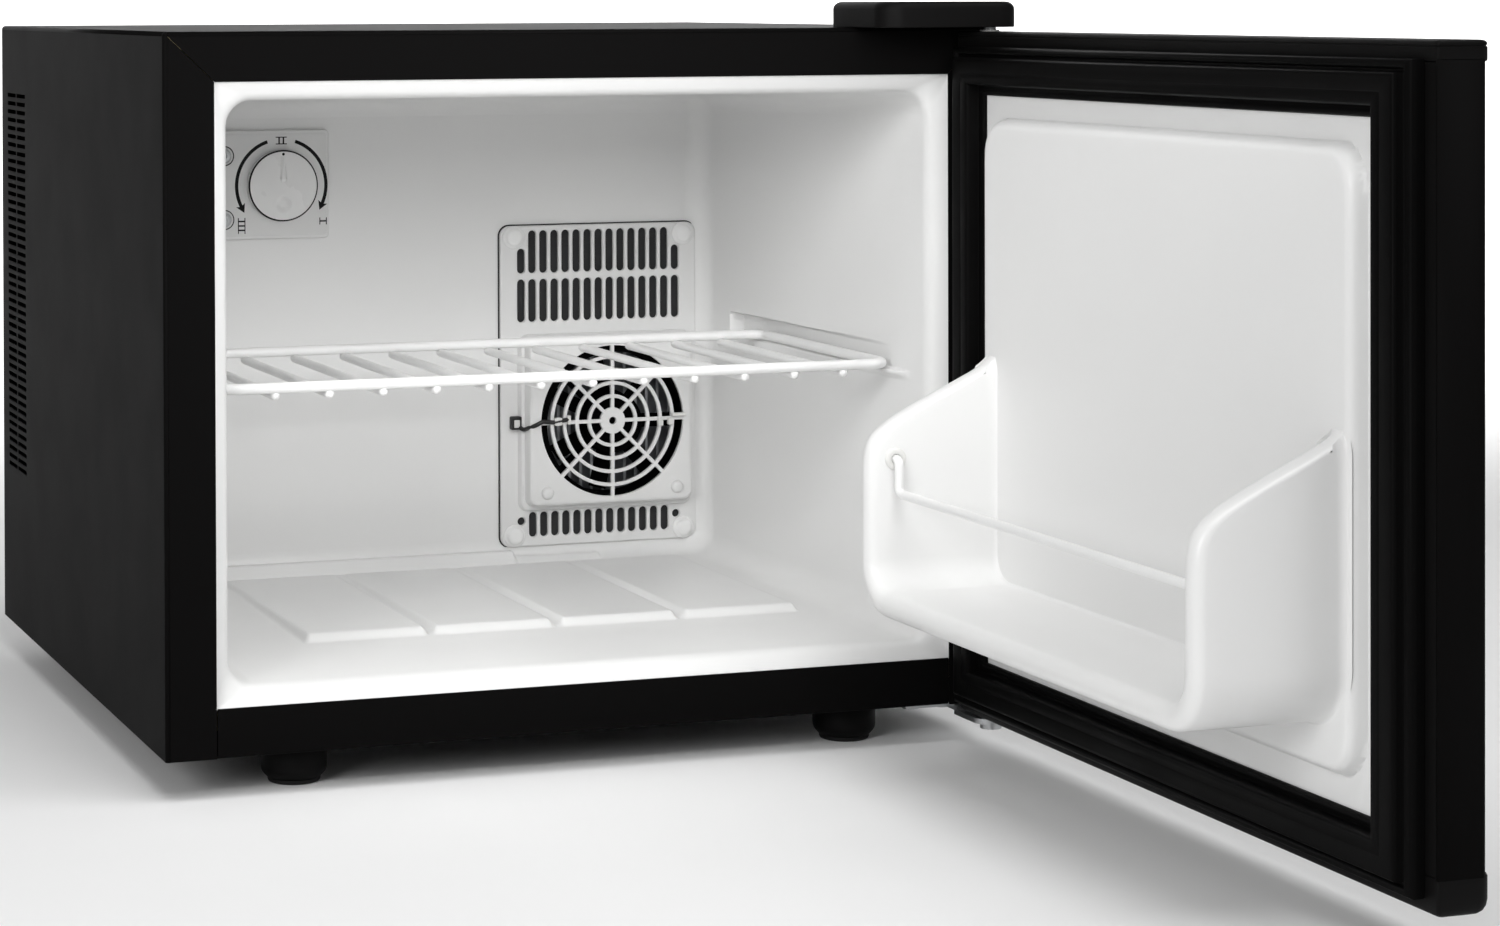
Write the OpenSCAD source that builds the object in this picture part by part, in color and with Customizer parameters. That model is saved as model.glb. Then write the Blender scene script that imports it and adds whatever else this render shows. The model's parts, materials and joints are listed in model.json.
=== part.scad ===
// Thermoelectric mini fridge with a hinged door, shown with the door standing open at 90 degrees.
// Origin: on the floor, at the centre of the four feet. +Z is up and the front faces -Y.

/* [Cabinet] */
// Outer width of the cabinet
cab_w = 400; // [396:1:404]
// Outer depth of the cabinet, without the door
cab_d = 396; // [394:1:400]
// Outer height of the cabinet, without feet and hinges
cab_h = 320; // [318:1:324]
// Thickness of the steel sheet
sheet_t = 1; // [0.8:0.1:1.2]
// Width of the steel flange around the front opening
flange_w = 23; // [21:1:24]

/* [Feet] */
// Diameter of a foot
foot_d = 30; // [28:1:32]
// Height of a foot, without its rubber pad
foot_h = 16; // [15:1:18]
// Diameter of the rubber pad under a foot
foot_pad_d = 24; // [20:1:24]
// Exposed thickness of the rubber pad
foot_pad_t = 2; // [1:0.5:3]
// Distance between the feet across the cabinet
foot_dx = 270; // [260:1:280]
// Distance between the feet from front to back
foot_dy = 340; // [336:1:344]

/* [Liner] */
// Wall thickness of the moulded plastic liners
liner_t = 2; // [1.5:0.5:2]
// Depth of the cavity behind the front face
cavity_depth = 270; // [268:1:272]
// Height of the shelf wire's centre above the underside of the cabinet
shelf_z = 158; // [157.6:0.2:159]
// Diameter of the shelf's frame wire
shelf_wire_d = 5; // [4:0.5:5]
// Diameter of the shelf's cross wires
cross_wire_d = 3.6; // [3:0.2:4]
// Number of cross wires in the shelf
cross_wires = 12; // [8:1:14]

/* [Door] */
// Thickness of the door's frame, without the gasket
door_t = 21; // [20:0.5:22]
// Distance from the cabinet's front face to the hinge axis
hinge_reach = 21.5; // [21:0.5:22]
// Distance from the cabinet's right side to the hinge axis
hinge_inset = 12; // [11:0.5:13]
// Diameter of the hinge pins
hinge_pin_d = 6; // [5:0.5:6]
// Diameter of the wire that holds bottles in the door bin
bail_wire_d = 4; // [3:0.5:4]

/* [Controls and fans] */
// Diameter of the thermostat dial
dial_d = 37; // [34:1:38]
// Width of the square cold-side fan
cold_fan_w = 80; // [80]
// Width of the square hot-side fan
hot_fan_w = 92; // [92]
// Number of concentric rings in the cold-side fan grille
grille_rings = 6; // [4:1:6]
// Number of spokes in the cold-side fan grille
grille_spokes = 8; // [6:1:8]

/* [Hidden] */
$fn = 48;
eps = 0.01;

foot_top = foot_h + foot_pad_t;
cab_z0 = foot_top;
cab_z1 = cab_z0 + cab_h;
front_y = -cab_d / 2;
back_y = cab_d / 2;
side_x = cab_w / 2;

// opening in the front and the cavity behind it
open_x = side_x - flange_w;
open_z0 = cab_z0 + 22;
open_z1 = cab_z1 - flange_w;
mouth_border = 8;
mouth_x = open_x - mouth_border;
mouth_z0 = open_z0 + mouth_border;
mouth_z1 = open_z1 - mouth_border;
cav_back_y = front_y + cavity_depth;
cav_back_x = mouth_x - 9.5;
cav_back_z0 = mouth_z0 + 4;
cav_back_z1 = mouth_z1 - 5;
mouth_y = front_y + sheet_t + 5;
cav_r = 12;

// groove in each side wall that carries the shelf
shelf_abs_z = cab_z0 + shelf_z;
groove_z0 = shelf_abs_z - shelf_wire_d / 2 - 0.4;
groove_z1 = groove_z0 + 11;
groove_y0 = mouth_y + 1;
groove_y1 = front_y + 237;
groove_x = 168;
ledge_x = 161.5;
ledge_t = 2;
shelf_y0 = front_y + 39;
shelf_y1 = front_y + 198;
shelf_half_w = 163;

// cold-side well behind the fan cover
cover_cx = 97.5;
cover_cz = cab_z0 + 127.5;
cover_w = 111;
cover_h = 171;
cover_t = 2.5;
well_w = 98;
well_h = 150;
well_y1 = cav_back_y + 28;
grille_cx = cover_cx + 7;
grille_cz = cab_z0 + 107;
grille_r = 40;
raised_t = 10;
raised_z0 = cab_z0 + 64;
raised_z1 = cab_z0 + 152;
raised_w = 88;

// stack of the thermoelectric module, from the cold side to the hot side
foam_back_y = front_y + 317;
partition_y = foam_back_y + 1;
sink_base_t = 5;
cold_sink_y0 = well_y1 - 18;
block_w = 40;
block_cz = cab_z0 + 127.5;
block_y0 = well_y1;
module_t = 4;
block_y1 = partition_y - module_t;
hot_sink_w = 150;
hot_sink_h = 120;
hot_sink_t = 40;
hot_sink_y1 = partition_y + hot_sink_t;
hot_fan_t = 25;
hot_fan_y0 = hot_sink_y1 + 0.5;
clamp_dx = 30;

rear_y0 = back_y - sheet_t - 2;
rear_t = 2;

// thermostat on the back wall
dial_x = -77.6;
dial_z = cab_z0 + 237.3;
plate_x0 = -119;
plate_x1 = -52;
plate_z0 = cab_z0 + 209.5;
plate_z1 = cab_z0 + 266;
plate_t = 3;
dial_t = 4;
shaft_r = 2.5;

// door: hinge axis and outline in the closed door's own frame
hinge_x = side_x - hinge_inset;
hinge_y = front_y - hinge_reach;
door_u0 = -(cab_w - hinge_inset);
door_u1 = hinge_inset;
door_cu = (door_u0 + door_u1) / 2;
door_v0 = -10;
door_v1 = door_v0 + door_t;
door_z0 = cab_z0 - 1;
door_z1 = cab_z0 + 318;
low_cap_h = 15;
top_cap_h = 8;
cap_proud = 3;
gasket_t = hinge_reach - door_v1 - 0.5;
gasket_in_x = 164;
gasket_in_z0 = cab_z0 + 27;
gasket_in_z1 = cab_z0 + 289;
plinth_x = 152;
plinth_z0 = cab_z0 + 40;
plinth_z1 = cab_z0 + 279;
plinth_v = door_v1 + 9;
bin_x = 152;
bin_wall = 11;
bin_z0 = cab_z0 + 60;
bin_v = 83.5;
bin_corner_z = cab_z0 + 139;
bin_top_z = cab_z0 + 169;
bin_r = 24;
bail_v = 70;
bail_z = cab_z0 + 127.3;
bail_drop = 15;
grommet_r = 5;

// hinges
bracket_t = 2.5;
top_bracket_z = cab_z1;
low_bracket_z = cab_z0 - bracket_t;
cover_x0 = 129;
cover_x1 = side_x - 0.5;
hinge_cover_h = 12;
bush_wall = 1.5;
pin_gap = 0.05;

// side vents
vent_rows = 46;
vent_pitch = 4.4;
vent_len = 24;
vent_slot = 2.2;
vent_y0 = front_y + 329;
vent_z0 = cab_z0 + 84;

steel_black = "#1b1b1d";
plastic_black = "#161617";
plastic_white = "#f1f1ef";
metal = "#b9bcc0";

// ---------- general shapes ----------

// a box given by its two opposite corners
module block(x, y, z) {
    translate([x[0], y[0], z[0]])
        cube([x[1] - x[0], y[1] - y[0], z[1] - z[0]]);
}

// a flat rectangle with round corners, centred
module round_rect(w, h, r) {
    square([w - 2 * r, h], center = true);
    square([w, h - 2 * r], center = true);
    for (sx = [-1, 1], sz = [-1, 1])
        translate([sx * (w / 2 - r), sz * (h / 2 - r)])
            circle(r);
}

// stands a flat XZ outline up and gives it a thickness from y0 to y1
module upright(y0, y1) {
    translate([0, y1, 0])
        rotate([90, 0, 0])
            linear_extrude(y1 - y0)
                children();
}

// a cylinder along Y from y0 to y1
module rod_y(x, z, y0, y1, r) {
    translate([x, y0, z])
        rotate([-90, 0, 0])
            cylinder(h = y1 - y0, r = r);
}

// a cylinder along X from x0 to x1
module rod_x(x0, x1, y, z, r) {
    translate([x0, y, z])
        rotate([0, 90, 0])
            cylinder(h = x1 - x0, r = r);
}

// a flat screw head with its shank, pointing along +Y from the head
module screw_y(x, z, y, head_r, head_t, shank_r, length) {
    rod_y(x, z, y - head_t, y, head_r);
    rod_y(x, z, y - eps, y + length, shank_r);
}

// the four corners of a rectangle centred on the origin
function around(w, h) = [for (sx = [-1, 1], sz = [-1, 1]) [sx * w / 2, sz * h / 2]];

// moves a shape from the closed door's own frame to the door standing open at 90 degrees
module door_place() {
    translate([hinge_x, hinge_y, 0])
        rotate([0, 0, 90])
            children();
}

// a frame-shaped plate in the closed door's frame, from depth v0 to v1
module door_ring(hw_out, z_out, hw_in, z_in, v0, v1) {
    difference() {
        block([door_cu - hw_out, door_cu + hw_out], [v0, v1], z_out);
        block([door_cu - hw_in, door_cu + hw_in], [v0 - 1, v1 + 1], z_in);
    }
}

// the cavity's tapering inside, from the mouth to y_end, grown on every side
module tapered_room(grow, y_end) {
    hull() {
        upright(mouth_y - eps, mouth_y)
            translate([0, (mouth_z0 + mouth_z1) / 2])
                round_rect(2 * (mouth_x + grow), mouth_z1 - mouth_z0 + 2 * grow, cav_r + grow);
        upright(y_end - eps, y_end)
            translate([0, (cav_back_z0 + cav_back_z1) / 2])
                round_rect(2 * (cav_back_x + grow), cav_back_z1 - cav_back_z0 + 2 * grow,
                           cav_r + grow);
    }
}

// the shelf groove in both side walls
module grooves(grow) {
    for (s = [-1, 1])
        block([s > 0 ? 150 : -groove_x - grow, s > 0 ? groove_x + grow : -150],
              [groove_y0 - grow, groove_y1 + grow], [groove_z0 - grow, groove_z1 + grow]);
}

// the square well behind the fan cover
module fan_well(grow) {
    block([cover_cx - well_w / 2 - grow, cover_cx + well_w / 2 + grow],
          [cav_back_y - 1, well_y1 + grow],
          [cover_cz - well_h / 2 - grow, cover_cz + well_h / 2 + grow]);
}

// everything in the cabinet that is air or liner, grown by the liner's wall
module cavity_body(grow) {
    tapered_room(grow, cav_back_y + grow);
    grooves(grow);
    fan_well(grow);
}

// ---------- cabinet ----------

module side_vents() {
    for (i = [0:vent_rows - 1], c = [0, 1])
        translate([-side_x - 1, vent_y0 + c * (vent_len + 2.5), vent_z0 + i * vent_pitch])
            cube([cab_w + 2, vent_len, vent_slot]);
}

module side_plate(s) {
    block([s > 0 ? side_x - sheet_t : -side_x, s > 0 ? side_x : -side_x + sheet_t],
          [front_y, back_y], [cab_z0, cab_z1]);
}

module outer_wrap() {
    color(steel_black)
        difference() {
            wrap_sheet();
            for (p = rear_screw_places)
                rod_y(p[0], p[1], back_y - 5, back_y + 1, 1.8);
            hinge_screw_holes();
        }
}

// clearance holes of the hinge screws through the sheets above and below
module hinge_screw_holes() {
    for (x = bracket_screw_xs, z = [cab_z0 - 1, cab_z1 - 4])
        translate([x, front_y + 20, z])
            cylinder(h = 5, d = 4.2);
}

module wrap_sheet() {
    union() {
        difference() {
            union() {
                side_plate(-1);
                side_plate(1);
            }
            side_vents();
        }
        block([-side_x + sheet_t - eps, side_x - sheet_t + eps], [front_y, back_y],
              [cab_z1 - sheet_t, cab_z1]);
        // front flanges, with the top one between the two sides
        for (s = [-1, 1])
            block([s > 0 ? open_x : -side_x, s > 0 ? side_x : -open_x],
                  [front_y, front_y + sheet_t], [cab_z0, cab_z1]);
        block([-open_x - eps, open_x + eps], [front_y, front_y + sheet_t], [open_z1, cab_z1]);
        // rear flanges
        for (s = [-1, 1])
            block([s > 0 ? side_x - 10 : -side_x, s > 0 ? side_x : -side_x + 10],
                  [back_y - sheet_t, back_y], [cab_z0, cab_z1]);
        block([-side_x + 10 - eps, side_x - 10 + eps], [back_y - sheet_t, back_y],
              [cab_z1 - 10, cab_z1]);
        // bottom flanges that the base pan rests on
        for (s = [-1, 1])
            block([s > 0 ? side_x - 12 : -side_x, s > 0 ? side_x : -side_x + 12],
                  [front_y + sheet_t - eps, back_y - sheet_t + eps], [cab_z0, cab_z0 + sheet_t]);
    }
}

module bottom_rail() {
    color(steel_black)
        difference() {
            union() {
                block([-open_x + 0.1, open_x - 0.1], [front_y, front_y + sheet_t],
                      [cab_z0, open_z0]);
                block([-open_x + 0.1, open_x - 0.1], [front_y, front_y + 20],
                      [cab_z0, cab_z0 + sheet_t]);
            }
            hinge_screw_holes();
        }
}

module foot_places() {
    for (sx = [-1, 1], sy = [-1, 1])
        translate([sx * foot_dx / 2, sy * foot_dy / 2, 0])
            children();
}

module base_pan() {
    z0 = cab_z0 + sheet_t;
    color(steel_black)
        difference() {
            block([-side_x + sheet_t + 0.2, side_x - sheet_t - 0.2],
                  [front_y + sheet_t + 0.2, rear_y0], [z0, z0 + sheet_t]);
            foot_places()
                translate([0, 0, z0 - 1])
                    cylinder(h = sheet_t + 2, d = 4.4);
            hinge_screw_holes();
        }
}

// round grille of rings and spokes, as a flat outline
module ring_grille(r, rings, spokes, rib) {
    step = r / rings;
    intersection() {
        circle(r + rib);
        union() {
            for (i = [1:rings])
                difference() {
                    circle(i * step + (i == rings ? rib : 0));
                    circle(i * step - rib);
                }
            circle(step - rib);
            for (i = [0:spokes / 2 - 1])
                rotate(i * 360 / spokes)
                    square([2 * r + rib, rib], center = true);
        }
    }
}

rear_fan_r = 50;

module rear_cover() {
    z1 = cab_z1 - 2 * sheet_t - 0.3;
    color(plastic_black)
        upright(rear_y0, rear_y0 + rear_t)
            union() {
                difference() {
                    translate([-rear_half_w, rear_split_z + 0.15])
                        square([2 * rear_half_w, z1 - rear_split_z - 0.15]);
                    translate([cover_cx, block_cz])
                        circle(rear_fan_r);
                    // air outlet slots above and beside the fan
                    for (i = [0:8])
                        translate([cover_cx - 44 + i * 11, block_cz + 95])
                            round_rect(5, 46, 2.4);
                    for (i = [0:13], z = [175, 255])
                        translate([-150 + i * 11, cab_z0 + z])
                            round_rect(5, 50, 2.4);
                    rear_screw_holes();
                }
                translate([cover_cx, block_cz])
                    ring_grille(rear_fan_r, 6, 8, 2.4);
            }
}

module rear_lower_panel() {
    color(plastic_black)
        upright(rear_y0, rear_y0 + rear_t)
            difference() {
                translate([-rear_half_w, cab_z0 + 2 * sheet_t + 0.3])
                    square([2 * rear_half_w, rear_split_z - cab_z0 - 2 * sheet_t - 0.45]);
                // cut-out of the mains inlet
                translate([inlet_x, inlet_z])
                    square([27.6, 20.6], center = true);
                for (s = [-1, 1])
                    translate([inlet_x + s * 20, inlet_z])
                        circle(d = 3.4);
                rear_screw_holes();
            }
}

module rear_screw_holes() {
    for (p = rear_screw_places)
        translate(p)
            circle(d = 3.6);
}

inlet_x = -150;
inlet_z = cab_z0 + 54;
rear_split_z = cab_z0 + 72;
rear_half_w = side_x - sheet_t - 0.3;
rear_screw_places = [
    for (sx = [-1, 1], k = [0:2])
        [sx * (side_x - 6), cab_z0 + 24 + k * (cab_h - 48) / 2]
];

module rear_cover_screws() {
    color(metal)
        for (p = rear_screw_places) {
            rod_y(p[0], p[1], rear_y0 - 3, back_y + eps, 1.7);
            rod_y(p[0], p[1], back_y, back_y + 2, 3.6);
        }
}

module cabinet_foam() {
    gap = 0.2;
    color("#e9dfb8")
        difference() {
            block([-side_x + sheet_t + gap, side_x - sheet_t - gap],
                  [front_y + sheet_t + gap, foam_back_y],
                  [cab_z0 + 2 * sheet_t + 9, cab_z1 - sheet_t - gap]);
            cavity_body(liner_t + gap);
            // the mouth flange of the liner
            block([-side_x + 8, side_x - 8], [front_y, mouth_y + liner_t + gap],
                  [cab_z0, cab_z1 - 8]);
            // the passage of the cold block and its frame
            block([cover_cx - 45, cover_cx + 45], [0, foam_back_y + 1],
                  [block_cz - 32, block_cz + 32]);
            // room for the potentiometer and for the screws' ends
            rod_y(dial_x, dial_z, cav_back_y, cav_back_y + liner_t + 14, 12);
            for (p = concat(cover_screw_places, plate_screw_places))
                rod_y(p[0], p[1], cav_back_y, cav_back_y + 12, 2.2);
            for (x = bracket_screw_xs)
                translate([x, front_y + 20, cab_z1 - 10])
                    cylinder(h = 12, r = 2.4);
        }
}

module partition_sheet() {
    color("#3b3c40")
        difference() {
            block([-side_x + sheet_t + 0.2, side_x - sheet_t - 0.2], [foam_back_y, partition_y],
                  [cab_z0 + 2 * sheet_t, cab_z1 - sheet_t - 0.2]);
            block([cover_cx - 44, cover_cx + 44], [foam_back_y - 1, partition_y + 1],
                  [block_cz - 31, block_cz + 31]);
        }
}

module floor_pads() {
    // four raised pads with bevelled edges along the floor
    pad_w = 60;
    for (i = [0:3])
        translate([-82 + i * 63.5, 0, 0])
            hull() {
                block([-pad_w / 2 + 3, pad_w / 2 - 3], [front_y + 96, cav_back_y - 12],
                      [mouth_z0 + 6, mouth_z0 + 7]);
                block([-pad_w / 2, pad_w / 2], [front_y + 91, cav_back_y - 8],
                      [mouth_z0 + 1, mouth_z0 + 3]);
            }
}

module inner_liner() {
    wall = liner_t;
    color(plastic_white)
        union() {
            difference() {
                union() {
                    cavity_body(wall);
                    // flange behind the steel front, and the border around the mouth
                    block([-side_x + 9, side_x - 9], [front_y + sheet_t, mouth_y + wall],
                          [cab_z0 + 9, cab_z1 - 9]);
                }
                tapered_room(0, cav_back_y);
                grooves(0);
                fan_well(0);
                // bevelled entry from the steel opening to the mouth
                hull() {
                    upright(front_y, front_y + sheet_t + eps)
                        translate([0, (open_z0 + open_z1) / 2])
                            square([2 * open_x, open_z1 - open_z0], center = true);
                    upright(mouth_y - eps, mouth_y + eps)
                        translate([0, (mouth_z0 + mouth_z1) / 2])
                            round_rect(2 * mouth_x, mouth_z1 - mouth_z0, cav_r);
                }
                // holes for the cold block, the clamp screws and the potentiometer shaft
                block([cover_cx - block_w / 2 - 1, cover_cx + block_w / 2 + 1],
                      [well_y1 - 1, well_y1 + wall + 1],
                      [block_cz - block_w / 2 - 1, block_cz + block_w / 2 + 1]);
                for (s = [-1, 1])
                    rod_y(cover_cx + s * clamp_dx, block_cz, well_y1 - 1, well_y1 + wall + 1, 2.2);
                rod_y(dial_x, dial_z, cav_back_y - 1, cav_back_y + wall + 1, 4.5);
                for (p = concat(cover_screw_places, plate_screw_places))
                    rod_y(p[0], p[1], cav_back_y - 1, cav_back_y + wall + 1, 1.8);
            }
            intersection() {
                floor_pads();
                tapered_room(0.5, cav_back_y);
            }
            shelf_ledges();
        }
}

// narrow ledges under the shelf's side wires, ending inside the side walls
module shelf_ledges() {
    y0 = groove_y0 + 6;
    y1 = groove_y1 - 19;
    taper = (mouth_x - cav_back_x) / (cav_back_y - mouth_y);
    for (s = [-1, 1])
        scale([s, 1, 1])
            translate([0, 0, groove_z0 - ledge_t])
                linear_extrude(ledge_t)
                    polygon([
                        [ledge_x, y0], [mouth_x - taper * (y0 - mouth_y) + 1, y0],
                        [mouth_x - taper * (y1 - mouth_y) + 1, y1], [ledge_x, y1]
                    ]);
}

// ---------- feet ----------

module feet() {
    bevel = 3;
    color(plastic_black)
        foot_places()
            difference() {
                rotate_extrude()
                    polygon([
                        [0, foot_pad_t], [foot_d / 2 - bevel, foot_pad_t],
                        [foot_d / 2 - 0.8, foot_pad_t + bevel * 0.7], [foot_d / 2, foot_pad_t + bevel + 2],
                        [foot_d / 2, foot_top], [0, foot_top]
                    ]);
                translate([0, 0, foot_pad_t + 5])
                    cylinder(h = foot_h, d = 4.2);
            }
}

module foot_pads() {
    color("#0e0e0f")
        foot_places()
            cylinder(h = foot_pad_t, d = foot_pad_d);
}

module foot_screws() {
    z0 = cab_z0 + 2 * sheet_t;
    color(metal)
        foot_places() {
            translate([0, 0, foot_pad_t + 6])
                cylinder(h = z0 - foot_pad_t - 6 + eps, d = 3.9);
            translate([0, 0, z0])
                cylinder(h = 2.5, d = 8);
        }
}

// ---------- cold side ----------

cover_screw_places = [for (p = around(cover_w - 15, cover_h - 12)) [cover_cx + p[0], cover_cz + p[1]]];

module fan_cover() {
    y1 = cav_back_y - 0.1;
    y0 = y1 - cover_t;
    raised_cx = grille_cx - 0.5;
    slot_pitch = 5.85;
    color(plastic_white)
        union() {
            upright(y0, y1)
                difference() {
                    translate([cover_cx, cover_cz])
                        round_rect(cover_w, cover_h, 5);
                    // two rows of upper slots with a rib between them
                    for (i = [-7:7]) {
                        edge = abs(i) == 7;
                        translate([cover_cx + 1 + i * slot_pitch, cab_z0 + 199 + (edge ? -1.5 : 0)])
                            round_rect(3.5, edge ? 19 : 22, 1.7);
                        translate([cover_cx + 1 + i * slot_pitch, cab_z0 + 173 + (edge ? 1.5 : 0)])
                            round_rect(3.5, edge ? 19 : 22, 1.7);
                    }
                    // lower slots
                    for (i = [-6:6])
                        translate([cover_cx + 1 + i * slot_pitch, cab_z0 + 53.5])
                            round_rect(3.5, 12.5, 1.7);
                    for (s = [-1, 1])
                        translate([cover_cx + 1 + s * 42.5, cab_z0 + 55])
                            circle(1.6);
                    for (p = cover_screw_places)
                        translate([p[0], p[1]])
                            circle(d = 3.6);
                    translate([raised_cx, (raised_z0 + raised_z1) / 2])
                        square([raised_w - 3, raised_z1 - raised_z0 - 3], center = true);
                }
            // raised box around the fan
            upright(y0 - raised_t + 2, y1)
                translate([raised_cx, (raised_z0 + raised_z1) / 2])
                    difference() {
                        square([raised_w, raised_z1 - raised_z0], center = true);
                        square([raised_w - 4, raised_z1 - raised_z0 - 4], center = true);
                    }
            upright(y0 - raised_t, y0 - raised_t + 2.01)
                difference() {
                    translate([raised_cx, (raised_z0 + raised_z1) / 2])
                        round_rect(raised_w, raised_z1 - raised_z0, 3);
                    translate([grille_cx, grille_cz])
                        circle(grille_r);
                }
            upright(y0 - raised_t, y0 - raised_t + 2)
                translate([grille_cx, grille_cz])
                    ring_grille(grille_r, grille_rings, grille_spokes, 2.2);
        }
}

module fan_cover_screws() {
    y0 = cav_back_y - 0.1 - cover_t;
    color(metal)
        for (p = cover_screw_places)
            screw_y(p[0], p[1], y0, 3, 1.4, 1.7, 12);
}

module screw_caps() {
    // moulded caps that cover the screw heads
    y0 = cav_back_y - 0.1 - cover_t;
    color(plastic_white)
        for (p = cover_screw_places)
            translate([p[0], y0, p[1]])
                rotate([90, 0, 0])
                    rotate_extrude()
                        polygon([[3.2, 0], [5.6, 0], [5.6, 1], [4.2, 2.6], [0, 3], [0, 1.7], [3.2, 1.7]]);
}

// square fan frame along Y with a round bore, its hub held by struts
module fan_frame(w, t, cx, cz, y0) {
    bore_r = w / 2 - 2;
    hub_r = w * 0.21;
    union() {
        upright(y0, y0 + t)
            translate([cx, cz])
                difference() {
                    round_rect(w, w, 4);
                    circle(bore_r);
                    for (p = around(w - 9, w - 9))
                        translate([p[0], p[1]])
                            circle(d = 3.6);
                }
        upright(y0 + t - 3, y0 + t)
            translate([cx, cz])
                difference() {
                    union() {
                        circle(hub_r);
                        for (a = [45:90:315])
                            rotate(a)
                                translate([hub_r * 0.8, -1.5])
                                    square([bore_r - hub_r * 0.8 + 1, 3]);
                    }
                    circle(1.6);
                }
    }
}

// fan rotor along Y: hub cup, shaft and flat angled blades
module fan_rotor(w, t, cx, cz, y0, blades) {
    tip_r = w / 2 - 3.5;
    hub_r = w * 0.2;
    depth = t - 5;
    translate([cx, y0 + 1, cz])
        union() {
            rotate([-90, 0, 0])
                difference() {
                    cylinder(h = depth, r = hub_r);
                    translate([0, 0, 2])
                        cylinder(h = depth, r = hub_r - 2);
                }
            rotate([-90, 0, 0])
                cylinder(h = depth + 3.5, r = 1.55);
            for (i = [0:blades - 1])
                rotate([0, i * 360 / blades, 0])
                    translate([hub_r - 0.6, depth / 2, 0])
                        rotate([38, 0, 0])
                            translate([0, -0.7, -depth * 0.46])
                                cube([tip_r - hub_r, 1.4, depth * 0.92]);
        }
}

cold_fan_t = 15;
cold_fan_y0 = cav_back_y - 0.1 - cover_t - raised_t + 2.4;
cold_fan_cx = grille_cx - 1;

module cold_fan_frame() {
    color("#151515")
        fan_frame(cold_fan_w, cold_fan_t, cold_fan_cx, grille_cz, cold_fan_y0);
}

module cold_fan_rotor() {
    color("#202022")
        fan_rotor(cold_fan_w, cold_fan_t, cold_fan_cx, grille_cz, cold_fan_y0, 7);
}

// base plate with a comb of fins along Y, fins standing up and down
module finned_sink(cx, cz, w, h, y_base, base_t, fin_t, fins, depth) {
    dir = depth > 0 ? 1 : -1;
    upright(min(y_base, y_base + base_t * dir), max(y_base, y_base + base_t * dir))
        translate([cx, cz])
            square([w, h], center = true);
    for (i = [0:fins - 1])
        translate([cx - w / 2 + i * (w - fin_t) / (fins - 1), 0, cz - h / 2])
            block([0, fin_t],
                  [min(y_base + base_t * dir * 0.9, y_base + depth),
                   max(y_base + base_t * dir * 0.9, y_base + depth)], [0, h]);
}

module cold_heatsink() {
    color("#c9ccd0")
        difference() {
            finned_sink(cover_cx, cover_cz, 90, 140, well_y1, sink_base_t, 1.4, 15,
                        -(well_y1 - cold_sink_y0));
            for (s = [-1, 1])
                rod_y(cover_cx + s * clamp_dx, block_cz, cold_sink_y0 - 1, well_y1 + 1, 1.5);
        }
}

module cold_block() {
    color("#d3d5d8")
        block([cover_cx - block_w / 2, cover_cx + block_w / 2], [block_y0, block_y1],
              [block_cz - block_w / 2, block_cz + block_w / 2]);
}

module peltier_module() {
    half = block_w / 2;
    color("#f3f3ee")
        union() {
            block([cover_cx - half, cover_cx + half], [block_y1, partition_y],
                  [block_cz - half, block_cz + half]);
            for (s = [-1, 1])
                rod_x(cover_cx + half - 1, cover_cx + half + 1.6, block_y1 + module_t / 2,
                      block_cz + s * 15, 0.8);
        }
}

module insulation_frame() {
    color("#2b2b2e")
        difference() {
            block([cover_cx - 42, cover_cx + 42], [well_y1 + liner_t + 0.2, partition_y - 0.1],
                  [block_cz - 29, block_cz + 29]);
            block([cover_cx - block_w / 2 - 2, cover_cx + block_w / 2 + 2],
                  [well_y1, partition_y + 1],
                  [block_cz - block_w / 2 - 0.5, block_cz + block_w / 2 + 0.5]);
            for (s = [-1, 1])
                rod_y(cover_cx + s * clamp_dx, block_cz, well_y1, partition_y + 1, 2.2);
        }
}

// ---------- hot side ----------

module hot_heatsink() {
    color("#b4b7bb")
        difference() {
            finned_sink(cover_cx, block_cz, hot_sink_w, hot_sink_h, partition_y, 6, 1.6, 20,
                        hot_sink_t);
            for (s = [-1, 1])
                rod_y(cover_cx + s * clamp_dx, block_cz, partition_y - 1, hot_sink_y1 + 1, 4.6);
        }
    // landings for the clamp screws' heads
    color("#b4b7bb")
        for (s = [-1, 1])
            difference() {
                rod_y(cover_cx + s * clamp_dx, block_cz, partition_y, partition_y + 6, 4.8);
                rod_y(cover_cx + s * clamp_dx, block_cz, partition_y - 1, partition_y + 7, 2);
            }
}

module clamp_screws() {
    y1 = partition_y + 6;
    color(metal)
        for (s = [-1, 1]) {
            rod_y(cover_cx + s * clamp_dx, block_cz, well_y1 - 4, y1 + eps, 1.45);
            rod_y(cover_cx + s * clamp_dx, block_cz, y1, y1 + 3, 3);
        }
}

module hot_fan_frame() {
    color("#151515")
        fan_frame(hot_fan_w, hot_fan_t, cover_cx, block_cz, hot_fan_y0);
}

module hot_fan_rotor() {
    color("#202022")
        fan_rotor(hot_fan_w, hot_fan_t, cover_cx, block_cz, hot_fan_y0, 9);
}

module hot_fan_screws() {
    y1 = hot_fan_y0 + hot_fan_t;
    color(metal)
        for (p = around(hot_fan_w - 9, hot_fan_w - 9)) {
            rod_y(cover_cx + p[0], block_cz + p[1], hot_fan_y0 + 0.1, y1 + eps, 1.6);
            rod_y(cover_cx + p[0], block_cz + p[1], y1, y1 + 2, 3);
        }
}

// ---------- power supply ----------

board_cx = -110;
board_cz = cab_z0 + 120;
board_w = 120;
board_h = 80;
board_y0 = partition_y + 10;
board_t = 1.6;

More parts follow.
